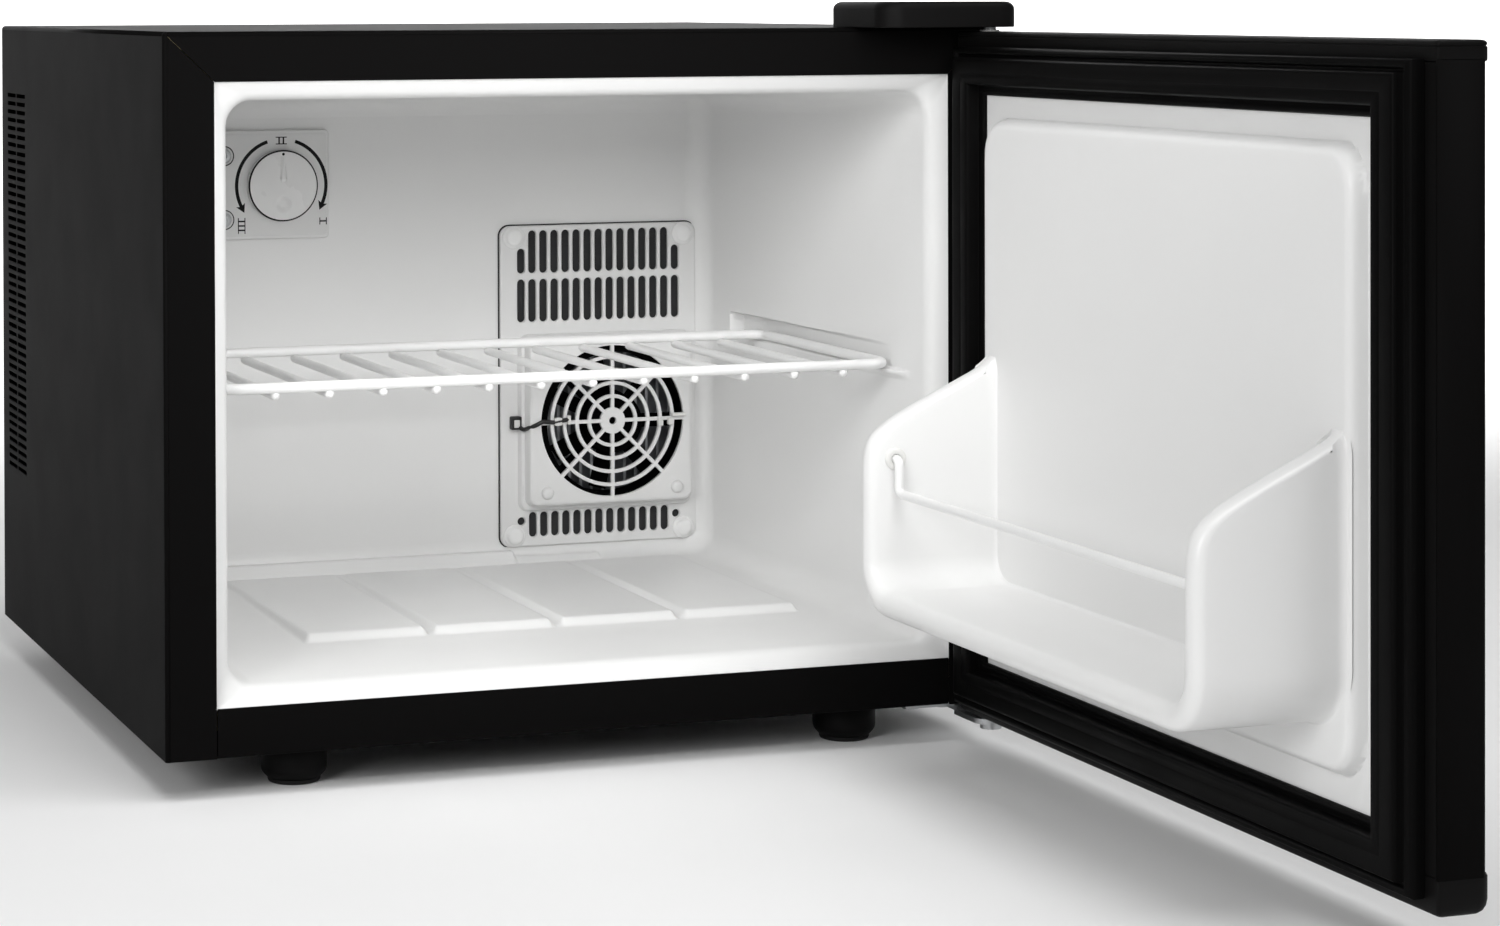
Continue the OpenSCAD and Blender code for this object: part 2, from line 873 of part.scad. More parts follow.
module power_board() {
    color("#2f6b45")
        difference() {
            block([board_cx - board_w / 2, board_cx + board_w / 2], [board_y0, board_y0 + board_t],
                  [board_cz - board_h / 2, board_cz + board_h / 2]);
            for (p = around(board_w - 10, board_h - 10))
                rod_y(board_cx + p[0], board_cz + p[1], board_y0 - 1, board_y0 + 3, 1.7);
        }
}

module board_standoffs() {
    color("#d8d8d2")
        for (p = around(board_w - 10, board_h - 10)) {
            rod_y(board_cx + p[0], board_cz + p[1], partition_y, board_y0, 3);
            rod_y(board_cx + p[0], board_cz + p[1], board_y0 - eps, board_y0 + board_t + 1.5, 1.6);
        }
}

module on_board(x, z, w, h, t) {
    y0 = board_y0 + board_t;
    block([board_cx + x - w / 2, board_cx + x + w / 2], [y0, y0 + t],
          [board_cz + z - h / 2, board_cz + z + h / 2]);
}

module transformer() {
    color("#e3c44b")
        union() {
            on_board(2, 0, 30, 24, 26);
            on_board(2, 0, 20, 32, 20);
        }
}

module capacitors() {
    y0 = board_y0 + board_t;
    color("#26324a")
        for (c = [[-38, 14, 9, 30], [-38, -14, 9, 24], [34, 22, 5, 18], [34, 8, 5, 18], [34, -6, 5, 18]])
            rod_y(board_cx + c[0], board_cz + c[1], y0, y0 + c[3], c[2]);
}

module board_heatsink() {
    color("#c0c3c6")
        union() {
            on_board(22, -26, 40, 3, 28);
            on_board(22, -23, 3, 4, 26);
            on_board(10, -23, 3, 4, 26);
        }
}

module mains_inlet() {
    y1 = rear_y0 + rear_t;
    color(plastic_black)
        difference() {
            union() {
                block([inlet_x - 13.5, inlet_x + 13.5], [y1 - 20, y1 + eps],
                      [inlet_z - 10, inlet_z + 10]);
                upright(y1, y1 + 0.9)
                    translate([inlet_x, inlet_z])
                        difference() {
                            round_rect(50, 23, 5);
                            for (s = [-1, 1])
                                translate([s * 20, 0])
                                    circle(d = 3.4);
                        }
            }
            block([inlet_x - 11.8, inlet_x + 11.8], [y1 - 15, y1 + 2], [inlet_z - 8, inlet_z + 8]);
        }
}

module inlet_pins() {
    y1 = rear_y0 + rear_t;
    color(metal)
        for (k = [-1, 0, 1])
            block([inlet_x + k * 7 - 1, inlet_x + k * 7 + 1], [y1 - 15, y1 - 2],
                  [inlet_z + (k == 0 ? 2 : -2) - 1.8, inlet_z + (k == 0 ? 2 : -2) + 1.8]);
}

module inlet_screws() {
    y1 = rear_y0 + rear_t + 0.9;
    color(metal)
        for (s = [-1, 1]) {
            rod_y(inlet_x + s * 20, inlet_z, y1 - 7, y1 + eps, 1.5);
            rod_y(inlet_x + s * 20, inlet_z, y1, y1 + 0.9, 2.8);
        }
}

// ---------- thermostat ----------

plate_screw_places = [[plate_x0 + 8, plate_z0 + 10.5], [plate_x0 + 8, plate_z0 + 43.5]];

module thermostat_plate() {
    y1 = cav_back_y - 0.1;
    color("#e9e9e6")
        upright(y1 - plate_t, y1)
            difference() {
                translate([(plate_x0 + plate_x1) / 2, (plate_z0 + plate_z1) / 2])
                    round_rect(plate_x1 - plate_x0, plate_z1 - plate_z0, 2);
                translate([dial_x, dial_z])
                    circle(d = 8);
                for (p = plate_screw_places)
                    translate(p)
                        circle(d = 3.4);
            }
}

module thermostat_dial() {
    y1 = cav_back_y - 0.1 - plate_t - 0.4;
    color("#f4f4f2")
        union() {
            difference() {
                rod_y(dial_x, dial_z, y1 - dial_t, y1, dial_d / 2);
                rod_y(dial_x, dial_z, y1 - 2.6, y1 + 1, shaft_r);
            }
            // pointer
            upright(y1 - dial_t - 1.2, y1 - dial_t + 0.1)
                translate([dial_x, dial_z])
                    union() {
                        polygon([[-2.6, 3], [2.6, 3], [0.5, 15], [-0.5, 15]]);
                        translate([0, 3.2])
                            circle(2.6);
                    }
        }
}

module dial_shaft() {
    y1 = cav_back_y - 0.1 - plate_t - 0.4;
    color(metal)
        rod_y(dial_x, dial_z, y1 - 2.6, cav_back_y + liner_t + 8, shaft_r);
}

module potentiometer() {
    y0 = cav_back_y + liner_t;
    color("#54575c")
        difference() {
            union() {
                rod_y(dial_x, dial_z, cav_back_y - plate_t, y0 + 1, 4);
                rod_y(dial_x, dial_z, y0 + 0.3, y0 + 12, 8);
            }
            rod_y(dial_x, dial_z, cav_back_y - plate_t - 1, y0 + 8.5, shaft_r + pin_gap);
        }
}

module plate_screws() {
    y0 = cav_back_y - 0.1 - plate_t;
    color(metal)
        for (p = plate_screw_places)
            screw_y(p[0], p[1], y0, 3.2, 1.5, 1.5, 10);
}

// ---------- temperature sensor on the grille ----------

sensor_y = cav_back_y - 0.1 - cover_t - raised_t - 1.6;
sensor_r = 1.1;
sensor_route = [
    [cover_cx - 49, cav_back_y - 4.2, grille_cz + 1], [cover_cx - 43, sensor_y + 2, grille_cz - 2],
    [cover_cx - 37, sensor_y, grille_cz + 1], [cover_cx - 29, sensor_y, grille_cz],
    [cover_cx - 22, sensor_y, grille_cz + 2]
];

// straight stretches of wire with a small block at each bend
module wire_path(points, r) {
    for (i = [0:len(points) - 2]) {
        a = points[i];
        b = points[i + 1];
        d = b - a;
        translate(a)
            rotate([0, acos(d[2] / norm(d)), atan2(d[1], d[0])])
                cylinder(h = norm(d), r = r, $fn = 8);
    }
    for (p = points)
        translate(p)
            cube(2.1 * r, center = true);
}

module sensor_wire() {
    color("#141414")
        wire_path(sensor_route, sensor_r);
}

module sensor_clips() {
    // white clips at the right edge of the grille
    y1 = cav_back_y - 0.1 - cover_t - raised_t;
    color(plastic_white)
        for (z = [4, -6])
            block([grille_cx + 26, grille_cx + 38], [y1 - 2.4, y1], [grille_cz + z, grille_cz + z + 4]);
}

// ---------- shelf ----------

module wire_shelf() {
    // the wires are drawn with twelve sides
    sides = 12;
    r = shelf_wire_d / 2;
    corner = 9;
    cross_r = cross_wire_d / 2;
    cross_z = -r - cross_r + 1;
    cross_step = (2 * shelf_half_w - 46) / (cross_wires - 1);
    xin = shelf_half_w - corner;
    color("#f5f5f5")
        translate([0, 0, shelf_abs_z])
            union() {
                for (y = [shelf_y0, shelf_y1])
                    rod_x(-xin, xin, y, 0, r, $fn = sides);
                for (s = [-1, 1])
                    rod_y(s * shelf_half_w, 0, shelf_y0 + corner, shelf_y1 - corner, r, $fn = sides);
                for (sx = [-1, 1], e = [0, 1])
                    translate([sx * xin, e == 0 ? shelf_y0 + corner : shelf_y1 - corner, 0])
                        rotate([0, 0, sx > 0 ? (e == 0 ? -90 : 0) : (e == 0 ? 180 : 90)])
                            rotate_extrude(angle = 90)
                                translate([corner, 0])
                                    circle(r, $fn = sides);
                for (i = [0:cross_wires - 1])
                    rod_y(-(cross_wires - 1) / 2 * cross_step + i * cross_step, cross_z,
                          shelf_y0 - 2, shelf_y1 + 2, cross_r, $fn = sides);
            }
}

// ---------- hinges ----------

pin_r = hinge_pin_d / 2;
pin_len = 14;

// flat hinge plate: a round nose around the pin, widening onto the cabinet
module bracket_nose(y1) {
    translate([hinge_x, hinge_y])
        circle(9);
    translate([hinge_x - 9, hinge_y])
        square([18, y1 - hinge_y]);
}

module bracket_tail(reach, y0) {
    difference() {
        translate([hinge_x - reach, y0])
            square([reach + 9, bracket_back - y0]);
        for (x = bracket_screw_xs)
            translate([x, front_y + 20])
                circle(d = 4.4);
    }
}

bracket_screw_xs = [hinge_x - 22, hinge_x - 6];
bracket_back = front_y + 30;
low_step_y = front_y - 4;
low_nose_z = low_bracket_z - 2;

module top_hinge_bracket() {
    pin_z0 = door_z1 - pin_len + 4;
    color(metal)
        union() {
            translate([0, 0, top_bracket_z])
                linear_extrude(bracket_t)
                    intersection() {
                        union() {
                            bracket_nose(front_y + 9);
                            bracket_tail(45, front_y + 8);
                        }
                        cover_outline(11, 2);
                    }
            translate([hinge_x, hinge_y, pin_z0])
                cylinder(h = top_bracket_z + bracket_t - pin_z0, r = pin_r);
        }
}

module lower_hinge_bracket() {
    // the nose lies a step lower than the tail, to pass under the door
    color(metal)
        union() {
            translate([0, 0, low_nose_z])
                linear_extrude(bracket_t)
                    bracket_nose(front_y - 1);
            block([hinge_x - 9, hinge_x + 9], [low_step_y, front_y - 1],
                  [low_nose_z, low_bracket_z + bracket_t]);
            translate([0, 0, low_bracket_z])
                linear_extrude(bracket_t)
                    union() {
                        translate([hinge_x - 9, low_step_y])
                            square([18, front_y + 9 - low_step_y]);
                        bracket_tail(30, front_y + 8);
                    }
            translate([hinge_x, hinge_y, low_nose_z - 3])
                cylinder(h = 3.01, r = 5);
            translate([hinge_x, hinge_y, low_nose_z])
                cylinder(h = door_z0 + pin_len - 1 - low_nose_z, r = pin_r);
        }
}

module hinge_screws() {
    color(metal)
        for (x = bracket_screw_xs) {
            translate([x, front_y + 20, top_bracket_z - 8])
                cylinder(h = 8 + bracket_t + eps, r = 1.9);
            translate([x, front_y + 20, top_bracket_z + bracket_t])
                cylinder(h = 2.2, r = 4);
            translate([x, front_y + 20, low_bracket_z - eps])
                cylinder(h = bracket_t + 8, r = 1.9);
            translate([x, front_y + 20, low_bracket_z - 2.2])
                cylinder(h = 2.2, r = 4);
        }
}

module cover_outline(r, shrink) {
    x0 = cover_x0 + shrink;
    x1 = cover_x1 - shrink;
    y0 = hinge_y - 11 + shrink;
    y1 = front_y + 34 - shrink;
    translate([(x0 + x1) / 2, (y0 + y1) / 2])
        round_rect(x1 - x0, y1 - y0, r - shrink);
}

module top_hinge_cover() {
    color(plastic_black)
        difference() {
            union() {
                translate([0, 0, top_bracket_z])
                    linear_extrude(hinge_cover_h - 2)
                        cover_outline(11, 0);
                translate([0, 0, top_bracket_z + hinge_cover_h - 2 - eps])
                    linear_extrude(1 + eps)
                        cover_outline(11, 0.8);
                translate([0, 0, top_bracket_z + hinge_cover_h - 1 - eps])
                    linear_extrude(1 + eps)
                        cover_outline(11, 2.4);
            }
            translate([0, 0, top_bracket_z - 1])
                linear_extrude(hinge_cover_h - 1)
                    cover_outline(11, 1.8);
        }
}

// ---------- door, all in the closed door's own frame ----------

panel_t = 1;
panel_z0 = door_z0 + low_cap_h;
panel_z1 = door_z1 - top_cap_h;

module door_panel() {
    color(steel_black)
        door_place()
            union() {
                block([door_u0, door_u1], [door_v0, door_v0 + panel_t], [panel_z0, panel_z1]);
                block([door_u0, door_u0 + panel_t], [door_v0, door_v1], [panel_z0, panel_z1]);
                block([door_u1 - panel_t, door_u1], [door_v0, door_v1], [panel_z0, panel_z1]);
            }
}

module door_cap(z0, z1, bush_z) {
    r = 6;
    difference() {
        translate([0, 0, z0])
            linear_extrude(z1 - z0)
                union() {
                    translate([door_cu, (door_v0 - cap_proud + door_v1) / 2])
                        round_rect(door_u1 - door_u0, door_v1 - door_v0 + cap_proud, r);
                    // square inner corners towards the gasket
                    translate([door_u0, door_v1 - r])
                        square([door_u1 - door_u0, r]);
                }
        translate([0, 0, bush_z[0]])
            cylinder(h = bush_z[1] - bush_z[0], r = pin_r + pin_gap + bush_wall);
    }
}

module door_top_cap() {
    color(plastic_black)
        door_place()
            door_cap(panel_z1, door_z1, [panel_z1 - 1, door_z1 + 1]);
}

module door_bottom_cap() {
    color(plastic_black)
        door_place()
            door_cap(door_z0, panel_z0, [door_z0 - 1, panel_z0 + 1]);
}

module door_frame() {
    // inner plastic frame that closes the door's edge and holds the gasket
    hw = (door_u1 - door_u0) / 2 - panel_t - 0.1;
    color(plastic_black)
        door_place()
            door_ring(hw, [panel_z0 + 0.1, panel_z1 - 0.1], gasket_in_x - 2,
                      [gasket_in_z0 - 2, gasket_in_z1 + 2], door_v1 - 5, door_v1);
}

module door_foam() {
    color("#e9dfb8")
        door_place()
            difference() {
                block([door_u0 + panel_t + 0.2, door_u1 - panel_t - 0.2],
                      [door_v0 + panel_t + 0.2, door_v1 - 5.2], [panel_z0 + 0.2, panel_z1 - 0.2]);
                for (z = [panel_z0 - 1, panel_z1 - 12])
                    translate([0, 0, z])
                        cylinder(h = 13, r = pin_r + 3);
            }
}

module bin_wall(u0, u1) {
    translate([u0, 0, 0])
        rotate([90, 0, 90])
            linear_extrude(u1 - u0)
                children();
}

module door_liner() {
    lt = liner_t;
    floor_z = bin_z0 + bin_wall;
    color(plastic_white)
        door_place()
            difference() {
                union() {
                    // flat border held under the gasket
                    block([door_cu - gasket_in_x - 4, door_cu + gasket_in_x + 4],
                          [door_v1 + 0.1, door_v1 + 0.1 + lt],
                          [gasket_in_z0 - 4, gasket_in_z1 + 4]);
                    // raised plinth
                    hull() {
                        block([door_cu - plinth_x - 4, door_cu + plinth_x + 4],
                              [door_v1 + lt, door_v1 + lt + 0.2], [plinth_z0 - 3, plinth_z1 + 3]);
                        block([door_cu - plinth_x, door_cu + plinth_x], [plinth_v - 1, plinth_v],
                              [plinth_z0, plinth_z1]);
                    }
                    // bin: two end walls and a floor with round corners between them
                    difference() {
                        translate([0, bin_v, 0])
                            rotate([90, 0, 0])
                                linear_extrude(bin_v - plinth_v + 1)
                                    difference() {
                                        union() {
                                            translate([door_cu, (bin_z0 + bin_top_z) / 2])
                                                round_rect(2 * bin_x, bin_top_z - bin_z0, bin_r);
                                            translate([door_cu - bin_x, bin_top_z - 60])
                                                square([2 * bin_x, 60]);
                                        }
                                        translate([door_cu, (floor_z + bin_top_z) / 2 + 20])
                                            round_rect(2 * (bin_x - bin_wall),
                                                       bin_top_z - floor_z + 40, bin_r - 9);
                                    }
                        // slope of the end walls' upper edges
                        bin_wall(door_cu - bin_x - 1, door_cu + bin_x + 1)
                            polygon([
                                [plinth_v, bin_top_z], [bin_v - 5, bin_corner_z + 3],
                                [bin_v, bin_corner_z - 4], [bin_v + 5, bin_corner_z - 4],
                                [bin_v + 5, bin_top_z + 5], [plinth_v, bin_top_z + 5]
                            ]);
                    }
                }
                // hollow back of the plinth, open towards the foam
                block([door_cu - plinth_x + lt, door_cu + plinth_x - lt],
                      [door_v1 - 1, plinth_v - lt], [plinth_z0 + lt, plinth_z1 - lt]);
                // holes of the bail's grommets
                rod_x_door(door_cu - bin_x + 0.8, door_cu - bin_x + bin_wall + 1, grommet_r - 1.5);
                rod_x_door(door_cu + bin_x - bin_wall - 1, door_cu + bin_x - 0.8, grommet_r - 1.5);
            }
}

// a cylinder along the door's width on the bail's pivot axis
module rod_x_door(u0, u1, r) {
    translate([u0, bail_v, bail_z])
        rotate([0, 90, 0])
            cylinder(h = u1 - u0, r = r);
}

module door_gasket() {
    lip_z = 22;
    color("#0d0d0e")
        door_place()
            union() {
                door_ring(gasket_in_x + 28, [gasket_in_z0 - lip_z, gasket_in_z1 + lip_z],
                          gasket_in_x, [gasket_in_z0, gasket_in_z1],
                          door_v1 + liner_t + 0.2, door_v1 + liner_t + 2.2);
                door_ring(gasket_in_x + 26, [gasket_in_z0 - lip_z + 1, gasket_in_z1 + lip_z - 1],
                          gasket_in_x + 6, [gasket_in_z0 - 5, gasket_in_z1 + 5],
                          door_v1 + liner_t + 2.1, door_v1 + gasket_t);
                door_ring(gasket_in_x + 27, [gasket_in_z0 - lip_z + 1, gasket_in_z1 + lip_z - 1],
                          gasket_in_x + 12, [gasket_in_z0 - 10, gasket_in_z1 + 10],
                          door_v1, door_v1 + liner_t + 0.3);
            }
}

module hinge_bushes() {
    bore = pin_r + pin_gap;
    color("#d9d9d4")
        door_place()
            difference() {
                for (z = [[panel_z1, door_z1 + 0.8], [door_z0 - 0.8, panel_z0]])
                    translate([0, 0, z[0]])
                        cylinder(h = z[1] - z[0], r = bore + bush_wall);
                translate([0, 0, door_z0 - 2])
                    cylinder(h = door_z1 - door_z0 + 4, r = bore);
            }
}

module bottle_bail() {
    r = bail_wire_d / 2;
    u_arm = bin_x - bin_wall - 4;
    color("#f5f5f5")
        door_place()
            translate([door_cu, bail_v, bail_z])
                union() {
                    for (s = [-1, 1]) {
                        translate([s > 0 ? u_arm : -u_arm - 13, 0, 0])
                            rotate([0, 90, 0])
                                cylinder(h = 13, r = r);
                        translate([s * u_arm, 0, 0])
                            sphere(r = r);
                        translate([s * u_arm, 0, -bail_drop])
                            cylinder(h = bail_drop, r = r);
                        translate([s * u_arm, 0, -bail_drop])
                            sphere(r = r);
                    }
                    translate([-u_arm, 0, -bail_drop])
                        rotate([0, 90, 0])
                            cylinder(h = 2 * u_arm, r = r);
                }
}

module bail_grommets() {
    color(plastic_white)
        door_place()
            for (s = [-1, 1])
                translate([door_cu + s * (bin_x - bin_wall), bail_v, bail_z])
                    rotate([0, s * 90, 0])
                        difference() {
                            union() {
                                translate([0, 0, -1.2])
                                    cylinder(h = 1.2, r = grommet_r);
                                translate([0, 0, -eps])
                                    cylinder(h = 10, r = grommet_r - 1.55);
                            }
                            translate([0, 0, -2])
                                cylinder(h = 13, r = bail_wire_d / 2 + pin_gap);
                        }
}

outer_wrap();
bottom_rail();
base_pan();
rear_cover();
rear_lower_panel();
rear_cover_screws();
cabinet_foam();
partition_sheet();
inner_liner();
feet();
foot_pads();
foot_screws();
fan_cover();
fan_cover_screws();
screw_caps();
cold_fan_frame();
cold_fan_rotor();
cold_heatsink();
cold_block();
peltier_module();
insulation_frame();
hot_heatsink();
clamp_screws();
hot_fan_frame();
hot_fan_rotor();
hot_fan_screws();
power_board();
board_standoffs();
transformer();
capacitors();
board_heatsink();
mains_inlet();
inlet_pins();
inlet_screws();
thermostat_plate();
thermostat_dial();
dial_shaft();
potentiometer();
plate_screws();
sensor_wire();
sensor_clips();
wire_shelf();
top_hinge_bracket();
top_hinge_cover();
hinge_screws();
lower_hinge_bracket();
door_panel();
door_top_cap();
door_bottom_cap();
door_frame();
door_foam();
door_liner();
door_gasket();
hinge_bushes();
bottle_bail();
bail_grommets();
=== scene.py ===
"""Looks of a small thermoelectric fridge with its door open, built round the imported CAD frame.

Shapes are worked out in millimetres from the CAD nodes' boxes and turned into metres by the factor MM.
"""
import json
import math

import bmesh
import bpy
import numpy as np
from mathutils import Matrix, Vector


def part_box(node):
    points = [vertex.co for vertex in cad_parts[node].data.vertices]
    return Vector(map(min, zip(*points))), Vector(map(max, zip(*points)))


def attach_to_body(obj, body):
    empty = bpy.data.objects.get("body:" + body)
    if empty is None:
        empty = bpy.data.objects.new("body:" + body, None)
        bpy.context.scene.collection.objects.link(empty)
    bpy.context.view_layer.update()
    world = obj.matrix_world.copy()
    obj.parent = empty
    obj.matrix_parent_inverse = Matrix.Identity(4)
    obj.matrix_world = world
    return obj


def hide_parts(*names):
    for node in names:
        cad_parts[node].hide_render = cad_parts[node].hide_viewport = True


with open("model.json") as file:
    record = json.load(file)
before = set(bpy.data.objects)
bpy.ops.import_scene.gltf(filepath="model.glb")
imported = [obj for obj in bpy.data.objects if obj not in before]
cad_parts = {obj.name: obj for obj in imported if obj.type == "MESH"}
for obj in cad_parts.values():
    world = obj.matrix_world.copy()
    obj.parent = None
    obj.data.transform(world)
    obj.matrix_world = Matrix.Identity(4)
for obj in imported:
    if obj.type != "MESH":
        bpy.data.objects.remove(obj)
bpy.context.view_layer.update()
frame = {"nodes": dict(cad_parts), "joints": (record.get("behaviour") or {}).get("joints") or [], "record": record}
MM = 0.001


def box_mm(node):
    """A CAD node's lowest and highest corners in millimetres."""
    low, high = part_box(node)
    return np.array(low) / MM, np.array(high) / MM


def joint_mm(name):
    """A joint's pivot point in millimetres."""
    joint = next(j for j in frame["joints"] if j["name"] == name)
    return np.array(joint["pos_m"]) / MM


# ---------- places taken from the frame ----------

WRAP_LO, WRAP_HI = box_mm("outer_wrap")
LINER_LO, LINER_HI = box_mm("inner_liner")
COVER_LO, COVER_HI = box_mm("fan_cover")
SHELF_LO, SHELF_HI = box_mm("wire_shelf")
DIAL_LO, DIAL_HI = box_mm("thermostat_dial")
PLATE_LO, PLATE_HI = box_mm("thermostat_plate")
PANEL_LO, PANEL_HI = box_mm("door_panel")
GASKET_LO, GASKET_HI = box_mm("door_gasket")
DOOR_LINER_LO, DOOR_LINER_HI = box_mm("door_liner")
HINGE = joint_mm("door_hinge")

FRONT_Y = WRAP_LO[1]
BACK_Y = WRAP_HI[1]
SIDE_X = WRAP_HI[0]
BASE_Z = WRAP_LO[2]
TOP_Z = WRAP_HI[2]
SHEET = 1.0
FLANGE = 23.0
OPEN_X = SIDE_X - FLANGE
OPEN_Z = (BASE_Z + 22, TOP_Z - FLANGE + 0.8)
CAVITY_BACK = COVER_HI[1] + 0.1


# ---------- meshes ----------

def add_object(name, mesh, body, material, replaces=()):
    """Links a mesh as a piece that rides on a CAD body."""
    piece = bpy.data.objects.new(name, mesh)
    bpy.context.scene.collection.objects.link(piece)
    if not mesh.materials:
        mesh.materials.append(material)
    return attach(piece, body, replaces)


def attach(piece, body, replaces):
    """Makes an object ride on a CAD body, in place of the named nodes."""
    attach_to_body(piece, body)
    if replaces:
        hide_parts(*replaces)
    return piece


def make_mesh(name, points, faces, sharp=38):
    """A mesh from points in millimetres, shaded smooth except at edges sharper than the angle."""
    mesh = bpy.data.meshes.new(name)
    mesh.from_pydata((np.asarray(points, float) * MM).tolist(), [], faces)
    mesh.validate()
    mesh.shade_smooth()
    mesh.set_sharp_from_angle(angle=math.radians(sharp))
    return mesh


def outward(mesh):
    """Turns a closed mesh's faces to point outwards."""
    work = bmesh.new()
    work.from_mesh(mesh)
    bmesh.ops.remove_doubles(work, verts=work.verts, dist=1e-6)
    bmesh.ops.recalc_face_normals(work, faces=work.faces)
    work.to_mesh(mesh)
    work.free()


def grid_faces(rows, columns, close_rows=False, close_columns=False, start=0):
    """Quads over a grid of points stored row by row."""
    faces = []
    for i in range(rows if close_rows else rows - 1):
        for j in range(columns if close_columns else columns - 1):
            a, b = i % rows, (i + 1) % rows
            c, d = j % columns, (j + 1) % columns
            faces.append((start + a * columns + c, start + a * columns + d,
                          start + b * columns + d, start + b * columns + c))
    return faces


def grid_mesh(name, grid, close_rows=False, close_columns=False, flip=False, sharp=38):
    """A surface from a grid of points in millimetres, indexed [row][column][axis]."""
    grid = np.asarray(grid, float)
    rows, columns = grid.shape[:2]
    faces = grid_faces(rows, columns, close_rows, close_columns)
    if flip:
        faces = [f[::-1] for f in faces]
    return make_mesh(name, grid.reshape(-1, 3), faces, sharp)


def join_meshes(name, meshes, sharp=38):
    """One mesh from several, keeping their materials out."""
    points, faces = [], []
    for mesh in meshes:
        base = len(points)
        points += [tuple(v.co / MM) for v in mesh.vertices]
        faces += [tuple(base + i for i in p.vertices) for p in mesh.polygons]
        bpy.data.meshes.remove(mesh)
    return make_mesh(name, points, faces, sharp)


def arc(cx, cy, r, start, end, steps):
    """Points on an arc, angles in degrees."""
    angles = np.radians(np.linspace(start, end, steps + 1))
    return [(cx + r * math.cos(a), cy + r * math.sin(a)) for a in angles]


def round_rect(cx, cy, w, h, r, steps=6):
    """Outline of a rectangle with round corners."""
    points = []
    for sx, sy, start in ((1, 1, 0), (-1, 1, 90), (-1, -1, 180), (1, -1, 270)):
        points += arc(cx + sx * (w / 2 - r), cy + sy * (h / 2 - r), r, start, start + 90, steps)
    return points


def circle(cx, cy, r, steps=48):
    """Outline of a circle."""
    return arc(cx, cy, r, 0, 360, steps)[:-1]


PLANES = {
    "xz": lambda a, b, t: (a, t, b),
    "xy": lambda a, b, t: (a, b, t),
    "yz": lambda a, b, t: (t, a, b),
}


def plate(name, outlines, low, high, bevel=0.4, plane="xz", segments=2, sharp=60):
    """A flat plate with filleted edges. The first outline is the edge, the others are holes."""
    curve = bpy.data.curves.new(name, "CURVE")
    curve.dimensions = "2D"
    curve.fill_mode = "BOTH"
    for outline in outlines:
        spline = curve.splines.new("POLY")
        spline.points.add(len(outline) - 1)
        for point, (a, b) in zip(spline.points, outline):
            point.co = (a, b, 0, 1)
        spline.use_cyclic_u = True
    thickness = high - low
    curve.extrude = thickness / 2 - bevel
    curve.bevel_depth = bevel
    curve.bevel_resolution = segments - 1
    curve.offset = -bevel
    holder = bpy.data.objects.new(name, curve)
    bpy.context.scene.collection.objects.link(holder)
    made = holder.evaluated_get(bpy.context.evaluated_depsgraph_get()).to_mesh()
    place = PLANES[plane]
    middle = (low + high) / 2
    points = [place(v.co.x, v.co.y, middle + v.co.z) for v in made.vertices]
    faces = [tuple(p.vertices) for p in made.polygons]
    holder.to_mesh_clear()
    bpy.data.objects.remove(holder)
    bpy.data.curves.remove(curve)
    mesh = make_mesh(name, points, faces, sharp)
    outward(mesh)
    mesh.set_sharp_from_angle(angle=math.radians(sharp))
    return mesh


def even_normals(piece):
    """Keeps large flat faces flat beside small fillets."""
    modifier = piece.modifiers.new("even", "WEIGHTED_NORMAL")
    modifier.keep_sharp = True
    modifier.weight = 100


def lathe(name, profile, centre, axis, steps=48, sharp=38):
    """A body of revolution. profile holds (radius, height) pairs; height runs along the axis."""
    axis = Vector(axis).normalized()
    side = axis.orthogonal().normalized()
    up = axis.cross(side)
    grid = []
    for k in range(steps):
        angle = 2 * math.pi * k / steps
        spoke = side * math.cos(angle) + up * math.sin(angle)
        grid.append([tuple(Vector(centre) + spoke * r + axis * h) for r, h in profile])
    mesh = grid_mesh(name, grid, close_rows=True, sharp=sharp)
    outward(mesh)
    mesh.set_sharp_from_angle(angle=math.radians(sharp))
    return mesh


def fillet_path(points, radius, steps=6):
    """A path whose inner corners are replaced by round bends."""
    points = [Vector(p) for p in points]
    path = [points[0]]
    for before, here, after in zip(points, points[1:], points[2:]):
        a = (before - here).normalized()
        b = (after - here).normalized()
        angle = a.angle(b)
        reach = min(radius / math.tan(angle / 2), (before - here).length * 0.49,
                    (after - here).length * 0.49)
        start, end = here + a * reach, here + b * reach
        for k in range(steps + 1):
            t = k / steps
            path.append(start * (1 - t) ** 2 + here * 2 * t * (1 - t) + end * t ** 2)
    path.append(points[-1])
    return path


